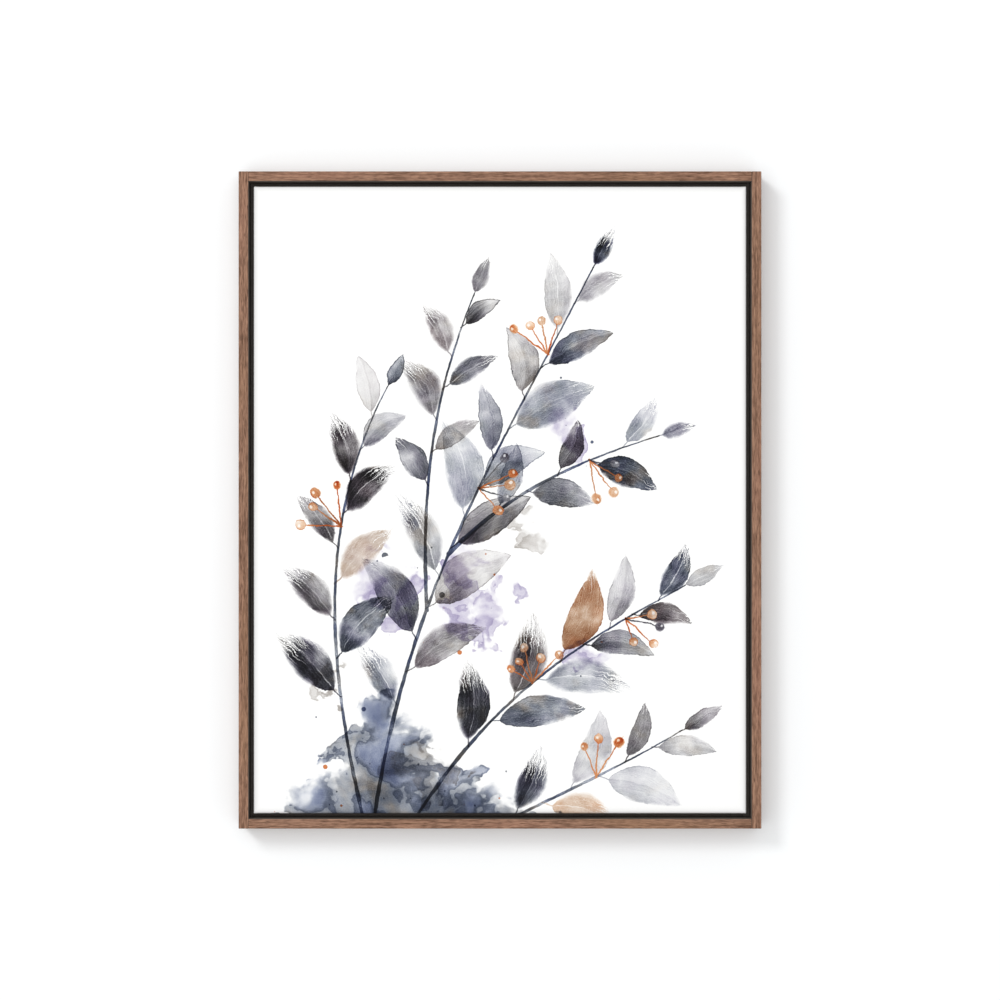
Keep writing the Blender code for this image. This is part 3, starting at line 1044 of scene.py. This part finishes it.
@material("Printed canvas", Specular_IOR_Level=0.2)
def printed_canvas(tree, layer_count):
    """A watercolour printed on primed canvas.

    Depths of the washes, stems, leaves and drops are added up as pigment, and the light that
    comes back falls off exponentially with it, as through glazes laid one over another. Berries
    are reserved from the leaves and stems behind them. The ink ends on the cloth's sides. The
    ground is darkened a little towards its turned edge and over the sides as painted shade, which
    stands for the shade that the frame's recess casts on the cloth's border.
    """
    cloth, paint = bpy.context.scene.floater_cloth, bpy.context.scene.floater_paint
    place = source(tree, "ShaderNodeUVMap", uv_map="cloth")["UV"]
    middle = (0.5, 0.5, 0.5)
    broad = noise(place, 75.0, 2.0, 0.55, gives="Color") - middle
    narrow = noise(place, 420.0, 2.0, 0.6, gives="Color") - middle
    fray = broad * 0.0045 + narrow * 0.0018
    flow = noise(place, 24.0, 3.0, 0.55, 0.25, gives="Color") + broad * 0.1
    _, wet, drift = split(flow)
    weave = plain_weave(place, cloth.thread)
    sediment = over_noise(noise(place, 1000.0, 2.0, 0.75), 0.68, 1.32)
    grains = sediment + over_unit(weave["Height"], 0.06, -0.06)

    slate, indigo, umber = map(absorbing, (paint.slate, paint.indigo, paint.umber))
    cool = mixed(slate, indigo, ease(drift, 0.42, 0.68))
    grey = mixed(cool, umber, ease(drift, 0.48, 0.30, 0.0, 0.8))

    leaves, berries, stems = painted_strokes(tree, layer_count, fray, flow, grains)
    berry_cool, berry_warm, hidden = split(berries)
    open_to_view = times_plus(hidden, -0.9, 1.0)
    leaf_cool, leaf_warm, _ = split(leaves * open_to_view)
    stems = stems * open_to_view

    fields = split(attribute(tree, "washes")["Vector"])
    washes = painted_washes(fields, flow, fray, grains)
    near = (fields[0] + fields[1]) * 0.30
    drops_cool, drops_warm = painted_drops(place, near, fray)

    grey_depth = times_plus(washes[0], 0.8, leaf_cool + berry_cool + (stems + drops_cool))
    tinted = leaf_cool * ease(wet, 0.5, 0.7, 0.0, 0.35)
    lavender = times_plus(washes[1], 0.8, tinted)
    warm_depth = leaf_warm + berry_warm + drops_warm
    total = grey * grey_depth
    total = total + lavender * absorbing(paint.lavender)
    total = total + washes[2] * 0.36 * umber
    total = total + warm_depth * absorbing(paint.russet)

    across, up, _ = split(abs(place))
    half_x, half_z = CLOTH_HALF - cloth.edge
    past = larger(across - half_x, up - half_z)
    inked = total * ((past < PRINT_TURN) * -paint.strength)
    let_back = join(*[reckon("EXPONENT", part) for part in split(inked)])
    # Painted shade: the ground darkens towards the face's turned edge and stays darker over the
    # sides
    greyed = reckon("EXPONENT", reckon("MINIMUM", past, 0.0) / GREYING_REACH)
    ground = times_plus(greyed, -GREYING, 1.0) * tuple(cloth.ground)
    colour, roughness = let_back * ground, over_unit(weave["Height"], 0.9, 0.78)
    return colour, roughness, bump(times_plus(weave["Slub"], 0.8, weave["Height"]), 0.00012, 0.5)


# ---------------------------------------------------------------- pieces

# In a member's map, the room between its parts and the border round them, and how much larger
# the cloth's map is than the cloth
MAP_ROOM, MAP_BORDER, MAP_MARGIN = 0.003, 0.005, 1.01
# How far on a member's grain is from that of the member before it
NEXT_MEMBER = np.array([0.11, 0.07, 1.7])
# Stations between a moulding's ends, as shares of the way to them from its middle
BETWEEN_ENDS = np.linspace(-1, 1, 13)[1:-1]
# Thickness of the hanger's plate
PLATE = 0.0008


def member_map(outline, stations):
    """A map for a long member: the section's edge unrolled, cut at half length into two rows.

    Values are for each corner of the side faces, then of the two end caps, which lie above.
    """
    steps = np.linalg.norm(np.roll(outline, -1, axis=0) - outline, axis=1)
    round_it = np.concatenate([[0], np.cumsum(steps)])
    row = np.arange(len(stations) - 1)[:, None]
    left = np.arange(len(outline))[None, :]
    upper = stations[row] >= 0
    shift = np.where(upper, 0.0, -stations[0])
    rise = np.where(upper, round_it[-1] + MAP_ROOM, 0.0)
    near, far = stations[row] + shift, stations[row + 1] + shift
    low, high = round_it[left] + rise, round_it[left + 1] + rise
    near, far, low, high = np.broadcast_arrays(near, far, low, high)
    sides = np.stack([near, low, near, high, far, high, far, low], axis=-1).reshape(-1, 2)
    first = outline - outline.min(axis=0) + (0, 2 * (round_it[-1] + MAP_ROOM))
    second = first + (np.ptp(outline[:, 0]) + MAP_ROOM, 0)
    values = np.concatenate([sides, first, second])
    return values / (values.max() + MAP_ROOM) * (1 - 2 * MAP_BORDER) + MAP_BORDER


def finish_member(piece, outline, rows, stations, along, number):
    """Give a member its map and its grain, which is moved on by its number so no two match."""
    along = np.broadcast_to(along, rows.shape[:2])[..., None]
    places = np.concatenate([rows, along], axis=-1) + NEXT_MEMBER * number
    add_attribute(piece.data, "grain", "FLOAT_VECTOR", places)
    add_map(piece.data, "OFBake", member_map(outline, stations))
    close_up(piece)


def stile_run(outline, half, arris):
    """Stations along a stile, and its outline at each of them.

    The outline shrinks towards the ends along a quarter of an ellipse, as long as the arris.
    """
    k = np.linspace(1, 0, 4)
    shrink = 0.7 * arris * (1 - np.sqrt(1 - k**2))
    ends = -half + arris * (1 - k)
    stations = np.concatenate([ends, BETWEEN_ENDS * (half - arris), -ends[::-1]])
    insets = np.concatenate([shrink, np.zeros(len(BETWEEN_ENDS)), shrink[::-1]])
    tangent = np.roll(outline, -1, axis=0) - np.roll(outline, 1, axis=0)
    normal = np.stack([tangent[:, 1], -tangent[:, 0]], axis=-1)
    normal /= np.linalg.norm(normal, axis=1)[:, None]
    return stations, outline[None] + normal[None] * insets[:, None, None]


def rail_run(outline, half):
    """Stations along a rail, and its outline at each of them.

    The ends are clamped to the part of the section in front of the ledge and outside the gap, so
    that they lap over the stiles' ledges, and their front edge is chamfered.
    """
    step = 0.0002
    tongue = half - FACE - HAIRLINE / 3
    ledge = tongue - (SECTION - FACE)
    tips = np.array([-tongue, -tongue + step, -ledge - step, -ledge])
    stations = np.concatenate([tips, BETWEEN_ENDS * (ledge - step), -tips[::-1]])
    lapped = np.clip(outline, (0, LEDGE_FRONT + step), (FACE, FRONT))
    chamfered = np.minimum(lapped, (FACE, FRONT - step))
    whole = [outline] * (len(BETWEEN_ENDS) + 2)
    return stations, np.stack([chamfered, lapped, lapped, *whole, lapped, lapped, chamfered])


def build_moulding(side, name, number):
    """An L-section member: its eased outline carried along the side, black inside the recess."""
    finish = bpy.context.scene.floater_moulding
    corners = [(0, BACK), (0, FRONT), (FACE, FRONT), (FACE, LEDGE_FRONT)]
    corners += [(SECTION, LEDGE_FRONT), (SECTION, BACK)]
    outline = eased(corners, finish.arris)
    half = SIDES[side][2]
    if name.startswith("stile"):
        stations, rows = stile_run(outline, half, finish.arris)
    else:
        stations, rows = rail_run(outline, half)
    between = (outline + np.roll(outline, -1, axis=0)) / 2
    black = (between[:, 0] > FACE - 0.3 * finish.arris) & (between[:, 1] > BACK + finish.arris)
    piece = make_piece(
        f"{name}_moulding",
        seat(side, rows[..., 0], rows[..., 1], stations[:, None]),
        capped(len(stations), len(outline)),
        [stained_wood(), recess_black()],
        "walnut",
        [name],
        np.append(np.tile(black, len(stations) - 1), [False, False]),
    )
    finish_member(piece, outline, rows, stations, stations[:, None], number)


def build_bar(side, number):
    """A stretcher bar: a rounded section with a falling face.

    Its ends are mitred by shortening each point's run by its distance in.
    """
    finish = bpy.context.scene.floater_moulding
    face = [(0, BAR_FRONT), (BAR_WIDTH, BAR_FRONT - BAR_FALL)]
    outline = eased([(0, BAR_BACK), *face, (BAR_WIDTH, BAR_BACK)], finish.bar_round)
    half = SIDES[side][2] - BAR_IN - HAIRLINE
    stations = np.linspace(-half, half, 15)
    along = stations[:, None] * ((half - outline[:, 0]) / half)
    rows = np.broadcast_to(outline, (*along.shape, 2))
    piece = make_piece(
        f"stretcher_{side}_bar",
        seat(side, rows[..., 0] + BAR_IN, rows[..., 1], along),
        capped(len(stations), len(outline)),
        [planed_pine()],
        "pine",
        [f"stretcher_{side}"],
    )
    finish_member(piece, outline, rows, stations, along, number)


def spaced(half, finish):
    """Positions from -half to half, close together within the corner zone of either end."""
    near = np.linspace(-half, -half + finish.corner, round(finish.corner / finish.fine_cell) + 1)
    gap = half - finish.corner
    middle = np.linspace(-gap, gap, round(2 * gap / finish.cell) + 1)
    return np.concatenate([near[:-1], middle, -near[:-1][::-1]])


def cloth_turns(finish):
    """The cloth's way from its front over the bar, down the side and under.

    Returns it as rows of (inset, out), and its length as far as each of them.
    """
    angles = np.linspace(0, math.pi / 2, 5)
    near, far = finish.edge * (1 - np.sin(angles)), finish.edge * (1 - np.cos(angles))
    turn_in = np.stack([near, CLOTH_FRONT - far], axis=-1)
    side_out = np.linspace(CLOTH_FRONT - finish.edge, CLOTH_BACK + finish.edge, 8)[1:-1]
    side = np.stack([np.zeros_like(side_out), side_out], axis=-1)
    turn_back = np.stack([far, CLOTH_BACK + near], axis=-1)
    under = np.linspace(finish.edge, FLAP, 24)[1:]
    flap = np.stack([under, np.full_like(under, CLOTH_BACK)], axis=-1)
    # The cut edge, turned in towards the bar
    rim = [(FLAP, CLOTH_BACK + 0.0003), (FLAP - 0.0004, CLOTH_BACK + 0.00055)]
    way = np.concatenate([turn_in, side, turn_back, flap, rim])
    return way, np.append(0, np.cumsum(np.linalg.norm(np.diff(way, axis=0), axis=1)))


def round_corners(places, half, radius):
    """Pull places near a rectangle's corners in to a circle of the given radius."""
    over = np.abs(places) - (half - radius)
    both = (over > 0).all(axis=-1, keepdims=True)
    reach = np.hypot(*np.moveaxis(np.maximum(over, 0), -1, 0))[..., None]
    pull = np.where(reach > radius, radius / np.maximum(reach, 1e-9), 1.0)
    return np.where(both, np.sign(places) * (half - radius + over * pull), places)


def slack_of(places, finish):
    """How far the stretched cloth hangs back: most in its middle, with pulls at the staples.

    A pull is a cosine along the side that dies away exponentially towards the middle. All of it
    comes to nothing at the bars' edge.
    """
    pull, pull_reach, bar_edge = 0.00009, 0.02, 0.006
    from_edge = CLOTH_HALF - np.abs(places)
    middle = (1 - (places / CLOTH_HALF) ** 2).prod(axis=-1)
    wave = np.cos(2 * math.pi * places[..., ::-1] / finish.staple_pitch)
    pulls = (wave * np.exp(-from_edge / pull_reach)).sum(axis=-1) + 2
    return finish.slack * middle + pull * pulls * np.clip(from_edge.min(axis=-1) / bar_edge, 0, 1)


def cloth_piece(name, places, out, faces, flat, width, finish, stands_for=()):
    """A piece of cloth from its (x, z) places and their distances out from the wall.

    Its map gives each face's corners their places on the flat cloth.
    """
    points = np.stack([places[..., 0], -out, places[..., 1] + MIDDLE_Z], axis=-1)
    piece = make_piece(name, points, faces.tolist(), [finish], "canvas", stands_for)
    add_map(piece.data, "cloth", flat)
    add_map(piece.data, "OFBake", flat / (width * MAP_MARGIN) + 0.5)
    piece.data.shade_smooth()
    return piece


def border_of(rows, columns):
    """The points round a grid's border in order, by number, and the way out of the grid at each."""
    number = np.arange(rows * columns).reshape(rows, columns)
    border = np.concatenate([number[0, :-1], number[:-1, -1], number[-1, :0:-1], number[:0:-1, 0]])
    lengths = [columns - 1, rows - 1, columns - 1, rows - 1]
    return border, np.repeat([(0, -1), (1, 0), (0, 1), (-1, 0)], lengths, axis=0)


def wrapped_rings(border, outward, way, arc, finish):
    """Rings of cloth from its front's border over the edges and under: their places and out.

    Each ring is the border moved in by the way's inset and back to its distance from the wall.
    At the corners the spare cloth is folded under, which thickens the top and bottom sides in a
    triangle and lays the side flaps over the others.
    """
    at_end = outward[:, 1] != 0
    inset, out = way[1:, :1], way[1:, 1:]
    ring = border / (CLOTH_HALF - finish.edge) * (CLOTH_HALF - inset[..., None])
    from_edge = CLOTH_HALF - np.abs(ring)
    # The fold's triangle comes in past the turned edge and widens with the way down the side
    slope, blur = 0.9, 0.0015
    on_side = smooth_step(arc[1:, None], 0.002, 0.006) * (inset < finish.edge)
    pleat = smooth_step(arc[1:, None] * slope - from_edge[..., 0], 0.0, blur) * on_side * at_end
    # Where the flaps cross, the side ones lie over the others
    lifted = smooth_step(inset, 0.0175, 0.020) * ~at_end
    lifted = lifted * smooth_step(from_edge[..., 1], FLAP + 0.004, FLAP + 0.001)
    ring[..., 1] += np.sign(ring[..., 1]) * finish.fold * pleat
    near_front = np.broadcast_to(inset < finish.edge * 1.01, pleat.shape)
    rounded = np.stack([near_front, near_front & (pleat < 0.01)], axis=-1)
    round_ring = round_corners(ring, CLOTH_HALF - inset[..., None], finish.turn)
    return np.where(rounded, round_ring, ring), out - finish.fold * lifted


def build_canvas_face():
    """The primed cloth: a grid over the front, then rings round it over the edges and under.

    Laid flat, each side goes on outwards from the front for as long as the way is. All places
    are (x, z).
    """
    finish = bpy.context.scene.floater_cloth
    way, arc = cloth_turns(finish)
    inner = CLOTH_HALF - finish.edge
    xs, zs = (spaced(half, finish) for half in inner)
    columns, rows = len(xs), len(zs)
    places = np.stack(np.meshgrid(xs, zs), axis=-1).reshape(-1, 2)
    border, outward = border_of(rows, columns)
    front = round_corners(places, inner, finish.turn - 0.0005)
    front_out = CLOTH_FRONT - slack_of(front, finish)
    ring, ring_out = wrapped_rings(places[border], outward, way, arc, finish)

    def side_quads(loops, after):
        return np.stack([loops[:-1], loops[1:], after[1:], after[:-1]], axis=2)

    def unfold(loops):
        return np.where(outward, outward * (inner + arc[:, None, None]), loops)

    ring_number = rows * columns + np.arange(ring_out.size).reshape(ring_out.shape)
    loops = np.concatenate([border[None], ring_number])
    ring_faces = side_quads(loops, np.roll(loops, -1, axis=1)).reshape(-1, 4)
    front_faces = grid_quads(rows, columns)
    loops = np.concatenate([places[border][None], ring])
    unfolded = unfold(loops)
    ring_map = side_quads(unfolded, unfold(np.roll(loops, -1, axis=1))).reshape(-1, 2)
    front_map = places[front_faces].reshape(-1, 2)

    size = tuple(2 * (inner + arc[-1]))
    layers = picture_layers(bpy.context.scene.floater_paint.seed)
    piece = cloth_piece(
        "canvas_face",
        np.concatenate([front, ring.reshape(-1, 2)]),
        np.concatenate([front_out, ring_out.ravel()]),
        np.concatenate([front_faces, ring_faces]),
        np.concatenate([front_map, ring_map]),
        size[1],
        printed_canvas(len(layers)),
        ["canvas"],
    )
    add_painting(piece.data, np.concatenate([places, unfolded[1:].reshape(-1, 2)]), layers)
    return piece, size


def build_canvas_reverse():
    """The cloth's bare back: a panel a thread behind the face, its border hidden on the bars."""
    thickness, margin = 0.00045, 0.004
    columns, rows = 90, 112
    half_x, half_z = CLOTH_HALF - margin
    across, up = np.linspace(-half_x, half_x, columns), np.linspace(-half_z, half_z, rows)
    places = np.stack(np.meshgrid(across, up), axis=-1).reshape(-1, 2)
    out = CLOTH_FRONT - thickness - slack_of(places, bpy.context.scene.floater_cloth)
    faces = grid_quads(rows, columns)[:, ::-1]
    flat = places[faces].reshape(-1, 2)
    return cloth_piece("canvas_reverse", places, out, faces, flat, 2 * half_z, raw_cotton())


def staple_shape():
    """One staple about its middle, as (along, across, up): a flat wire bent down at both ends."""
    crown, leg, wide, thick, bend = 0.0055, 0.0016, 0.0006, 0.00025, 0.0006
    turn = np.linspace(0, math.pi / 2, 4)
    half = np.stack([crown - bend + bend * np.sin(turn), bend * np.cos(turn) - bend], axis=-1)
    half = np.concatenate([[[0, 0]], half, [[crown, -leg]]])
    wire = np.concatenate([half[:0:-1] * (-1, 1), half])
    way = np.gradient(wire, axis=0)
    way /= np.linalg.norm(way, axis=1)[:, None]
    normal = np.stack([-way[:, 1], way[:, 0]], axis=-1)
    section = eased([(-wide, -thick), (wide, -thick), (wide, thick), (-wide, thick)], 0.00015, 2)
    along_up = wire[:, None] + normal[:, None] * section[None, :, 1:]
    across = np.broadcast_to(section[None, :, 0], along_up.shape[:2])
    return along_up[..., 0], across, along_up[..., 1]


def build_staples():
    """Staples through the flaps into the bars: one shape set down along each side at odd angles."""
    along, across, up = staple_shape()
    # How far a staple is in from the cloth's side and from its corner, and how far it is sunk
    inset, from_corner, sunk = HALF_WIDTH - CLOTH_HALF[0] + 0.0215, 0.022, 0.0002
    pitch = bpy.context.scene.floater_cloth.staple_pitch
    rng = np.random.default_rng(5)
    faces, points = [], []
    for side, (_, _, half) in SIDES.items():
        run = half - inset - from_corner
        for place in np.linspace(-run, run, round(2 * run / pitch) + 1):
            lean = rng.uniform(-0.12, 0.12)
            shift = rng.uniform(-0.002, 0.002)
            down = along * math.cos(lean) - across * math.sin(lean)
            inward = along * math.sin(lean) + across * math.cos(lean) + (inset + shift)
            start = len(points) * up.size
            points.append(seat(side, inward, CLOTH_BACK - sunk - up, place + down))
            faces += [np.add(face, start).tolist() for face in capped(*up.shape)]
    close_up(make_piece("staples", np.stack(points), faces, [plated_steel()], "steel"))


def middle_of(node):
    low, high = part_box(node)
    return (low + high) / 2


def nodes_called(prefix):
    """The frame's nodes whose names start with the prefix."""
    return [name for name in sorted(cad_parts) if name.startswith(prefix)]


def turned_size(node):
    """The radius of a turned node, and how far out from the wall it starts and ends."""
    low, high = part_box(node)
    return (high.x - low.x) / 2, -high.y, -low.y


def build_turned(name, node, profile, sides, finish, slot, recess=None, crease=30):
    """A turned piece on the node's axis, through its profile of (radius, out).

    A recess is how far each point on the first few circles is pressed in.
    """
    points = turned(profile, sides)
    if recess is not None:
        points[: len(recess), :, 1] -= recess
    middle = middle_of(node)
    points = points + np.array([middle.x, 0, middle.z])
    faces = capped(len(profile), sides)
    close_up(make_piece(name, points, faces, [finish], slot, [node]), crease)


def cross_recess(radius, angle, reach):
    """Depth of a driver's recess: two crossed slots that taper to a point at the middle."""
    arm = radius * np.abs(np.sin(2 * angle))
    depth = (1 - np.clip(radius / reach, 0, 1)) * 0.9 + 0.1
    return np.where(radius < reach, depth * smooth_step(arm, 0.0011, 0.0006), 0.0)


def build_screws():
    """Pan-head screws: a dome with its recess pressed in, then the rim and the shank."""
    sides, under = 48, BACK - HAIRLINE
    turn = np.linspace(0, 2 * math.pi, sides, endpoint=False)
    for name in nodes_called("screw_"):
        radius, top, tip = turned_size(name)
        rings = np.linspace(0.06, 1, 14) * radius * 0.96
        dome = top + (under - top) * 0.45 * (rings / radius) ** 3
        recess = cross_recess(rings[:, None], turn, radius * 0.62) * 0.0011
        rim = [(radius, top + (under - top) * 0.6), (radius, under - 0.0001)]
        core = radius * 0.46
        shank = [(radius * 0.97, under), (core, under), (core, tip - 0.003), (core * 0.2, tip)]
        profile = [*zip(rings, dome), *rim, *shank]
        build_turned(f"{name}_driven", name, profile, sides, plated_steel(), "steel", recess, 35)


def build_hanger():
    """The sawtooth plate: a rounded strip section carried along X, its corners nipped.

    Its distance from the wall eases from the flat ends to the raised middle, and its lower edge is
    a triangular wave of teeth along the middle.
    """
    low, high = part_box("hanger")
    half, flat, raised = high.x, BACK - HAIRLINE, -high.y + PLATE
    # Width and number of the teeth, then the nipped corner, the flat foot and the rise from it
    tooth, count, nip, foot, ramp = 0.0025, 9, 0.0008, 0.009, 0.0022
    toothed = tooth * count / 2
    end = np.linspace(-half, -half + nip, 4)
    plain = np.linspace(-half + 0.002, -toothed - 0.0002, 14)
    teeth = np.linspace(-toothed, toothed, 8 * count + 1)
    stations = np.concatenate([end, plain, teeth, -plain[::-1], -end[::-1]])
    off_middle = np.abs(stations)
    out = flat + (raised - flat) * smooth_step(off_middle, half - foot, half - foot - ramp)
    wave = np.abs((stations / tooth + 0.5) % 1 - 0.5) * 2
    nipped = (nip - np.minimum(half - off_middle, nip)) ** 2 / nip
    bottom = low.z * np.where(off_middle < toothed, wave, 1.0) + nipped
    top = high.z - nipped
    section = eased([(0, 0), (1, 0), (1, 1), (0, 1)], 0.2, 3)
    z = bottom[:, None] + (top - bottom)[:, None] * section[:, 1]
    y = PLATE * np.clip(section[:, 0], 0, 1) - out[:, None]
    points = np.stack(np.broadcast_arrays(stations[:, None], y, z), axis=-1)
    faces = capped(len(stations), len(section))
    close_up(make_piece("hanger_plate", points, faces, [galvanised()], "zinc", ["hanger"]), 30)


def build_nails():
    """The nails through the hanger: a dome on its plate, and the shank."""
    under = BACK - HAIRLINE - PLATE - HAIRLINE / 2
    for name in nodes_called("nail_"):
        radius, top, tip = turned_size(name)
        dome = [(radius * r, top + (under - top) * 0.8 * r**2.5) for r in np.linspace(0.05, 1, 8)]
        core = radius / 3
        shank = [(radius, under), (core, under), (core, tip - 0.001), (core * 0.3, tip)]
        build_turned(f"{name}_driven", name, dome + shank, 24, plated_steel(), "steel")


def build_pads():
    """Rubber pads: a dome with a flat crown on the wall and a shallow groove round it."""
    for name in nodes_called("pad_"):
        radius, _, back = turned_size(name)
        crown = radius * 0.72
        turn = np.linspace(0, 1, 7) * math.pi / 2
        reach, out = crown + (radius - crown) * np.sin(turn), back * 0.55 * (1 - np.cos(turn))
        groove = [(radius * 0.985, back * 0.66), (radius * 0.985, back * 0.74)]
        profile = [(crown * 0.3, 0.0), (crown * 0.9, 0.0), *zip(reach, out), *groove]
        profile += [(radius, back * 0.8), (radius, back)]
        build_turned(f"{name}_bumper", name, profile, 36, grey_rubber(), "rubber")


# ---------------------------------------------------------------- stage


@material("Wall paint", Roughness=0.9, Specular_IOR_Level=0.1)
def wall_paint(tree):
    """A plain painted surface that can't be seen from behind."""
    mottle = noise(source(tree, "ShaderNodeTexCoord")["Object"], 3.0)
    wall = bpy.context.scene.floater_stage.wall
    paint = blend(wall, (0.9, 0.9, 0.9), ease(mottle, 0.4, 0.8, 0.0, 0.05))
    clear = source(tree, "ShaderNodeBsdfTransparent")["BSDF"]
    behind = source(tree, "ShaderNodeNewGeometry")["Backfacing"]
    seen = outputs(tree.nodes["Principled BSDF"])["BSDF"]
    shown = outputs(new_node("ShaderNodeMixShader", {0: behind, 1: seen, 2: clear}))["Shader"]
    feed(tree.nodes["Material Output"].inputs, {"Surface": shown})
    return [paint]


def stage_plane(name, points):
    """A flat surface of the room that only the camera sees, so it shades nothing from behind."""
    mesh = bpy.data.meshes.new(name)
    mesh.from_pydata(points, [], [(0, 1, 2, 3)])
    mesh.materials.append(wall_paint())
    plane = add_object(name, mesh)
    plane.visible_diffuse = False
    plane.visible_glossy = False
    plane.visible_transmission = False
    plane.visible_shadow = False


def area_light(name, place, size, power):
    """A square white light aimed at the picture's middle."""
    data = bpy.data.lights.new(name, "AREA")
    data.size, data.energy = size, power
    light = add_object(name, data)
    light.location = place
    aim = middle_of("canvas") - light.location
    light.rotation_euler = aim.to_track_quat("-Z", "Y").to_euler()


# ---------------------------------------------------------------- operators


class FLOATER_OT_stage(bpy.types.Operator):
    """Make the wall, the floor, the lights and the camera"""

    bl_idname = "floater.stage"
    bl_label = "Stage"

    def execute(self, context):
        stage = context.scene.floater_stage
        reach, floor = 4.0, -stage.drop
        wall = [(-reach, 0, floor), (reach, 0, floor), (reach, 0, reach), (-reach, 0, reach)]
        stage_plane("studio_wall", wall)
        corners = [(-reach, -reach), (reach, -reach), (reach, reach), (-reach, reach)]
        stage_plane("studio_floor", [(x, y, floor) for x, y in corners])
        area_light("key_light", (-3.9, -6.0, MIDDLE_Z + 3.6), 1.8, stage.key)
        area_light("front_light", (-0.7, -6.0, MIDDLE_Z + 0.35), 4.8, stage.fill)
        world = bpy.data.worlds.new("Room light")
        world.use_nodes = True
        backdrop = world.node_tree.nodes["Background"].inputs
        backdrop["Color"].default_value = (1.0, 1.0, 1.0, 1.0)
        backdrop["Strength"].default_value = stage.room
        context.scene.world = world
        context.scene.view_settings.view_transform = "Standard"
        data = bpy.data.cameras.new("portrait_camera")
        data.lens = stage.lens
        camera = add_object("portrait_camera", data)
        distance = stage.view_width * stage.lens / data.sensor_width
        camera.location = (0, -FRONT - distance, MIDDLE_Z)
        camera.rotation_euler = (math.pi / 2, 0, 0)
        context.scene.camera = camera
        return {"FINISHED"}


class FLOATER_OT_mouldings(bpy.types.Operator):
    """Make the two stiles and the two rails of the frame"""

    bl_idname = "floater.mouldings"
    bl_label = "Mouldings"

    def execute(self, context):
        members = {"left": "stile", "right": "stile", "top": "rail", "bottom": "rail"}
        for number, (side, kind) in enumerate(members.items()):
            build_moulding(side, f"{kind}_{side}", number)
        return {"FINISHED"}


class FLOATER_OT_stretcher(bpy.types.Operator):
    """Make the four mitred bars that the cloth is stretched on"""

    bl_idname = "floater.stretcher"
    bl_label = "Stretcher bars"

    def execute(self, context):
        # Their numbers, which set them apart in grain, follow those of the mouldings
        for number, side in enumerate(SIDES, start=5):
            build_bar(side, number)
        return {"FINISHED"}


class FLOATER_OT_canvas(bpy.types.Operator):
    """Make the printed cloth and its bare back"""

    bl_idname = "floater.canvas"
    bl_label = "Canvas"

    def execute(self, context):
        face, flat = build_canvas_face()
        reverse = build_canvas_reverse()
        bars = [f"stretcher_{side}_bar" for side in SIDES]
        return {"FINISHED"}


class FLOATER_OT_staples(bpy.types.Operator):
    """Make the staples that hold the flaps to the bars"""

    bl_idname = "floater.staples"
    bl_label = "Staples"

    def execute(self, context):
        build_staples()
        return {"FINISHED"}


class FLOATER_OT_fixings(bpy.types.Operator):
    """Make the screws that hold the canvas in its frame"""

    bl_idname = "floater.fixings"
    bl_label = "Screws"

    def execute(self, context):
        build_screws()
        return {"FINISHED"}


class FLOATER_OT_hanger(bpy.types.Operator):
    """Make the sawtooth hanger and its nails"""

    bl_idname = "floater.hanger"
    bl_label = "Hanger"

    def execute(self, context):
        build_hanger()
        build_nails()
        return {"FINISHED"}


class FLOATER_OT_pads(bpy.types.Operator):
    """Make the rubber pads on the corners of the back"""

    bl_idname = "floater.pads"
    bl_label = "Wall pads"

    def execute(self, context):
        build_pads()
        return {"FINISHED"}


OPERATORS = (
    FLOATER_OT_stage,
    FLOATER_OT_mouldings,
    FLOATER_OT_stretcher,
    FLOATER_OT_canvas,
    FLOATER_OT_staples,
    FLOATER_OT_fixings,
    FLOATER_OT_hanger,
    FLOATER_OT_pads,
)


class FLOATER_PT_panel(bpy.types.Panel):
    """Lists the pieces of the picture, in the order in which they are made"""

    bl_label = "Floater-framed canvas"
    bl_space_type = "VIEW_3D"
    bl_region_type = "UI"
    bl_category = "Canvas"

    def draw(self, context):
        for operator in OPERATORS:
            self.layout.operator(operator.bl_idname)
        for name in SETTINGS:
            settings = getattr(context.scene, name)
            box = self.layout.box()
            for field in settings.__annotations__:
                box.prop(settings, field)


def register():
    for group in SETTINGS.values():
        bpy.utils.register_class(group)
    for name, group in SETTINGS.items():
        setattr(bpy.types.Scene, name, PointerProperty(type=group))
    for operator in OPERATORS:
        bpy.utils.register_class(operator)
    bpy.utils.register_class(FLOATER_PT_panel)


def unregister():
    bpy.utils.unregister_class(FLOATER_PT_panel)
    for operator in reversed(OPERATORS):
        bpy.utils.unregister_class(operator)
    for name, group in reversed(SETTINGS.items()):
        delattr(bpy.types.Scene, name)
        bpy.utils.unregister_class(group)


def main():
    register()
    bpy.ops.floater.stage()
    bpy.ops.floater.mouldings()
    bpy.ops.floater.stretcher()
    bpy.ops.floater.canvas()
    bpy.ops.floater.staples()
    bpy.ops.floater.fixings()
    bpy.ops.floater.hanger()
    bpy.ops.floater.pads()


if __name__ == "__main__":
    main()
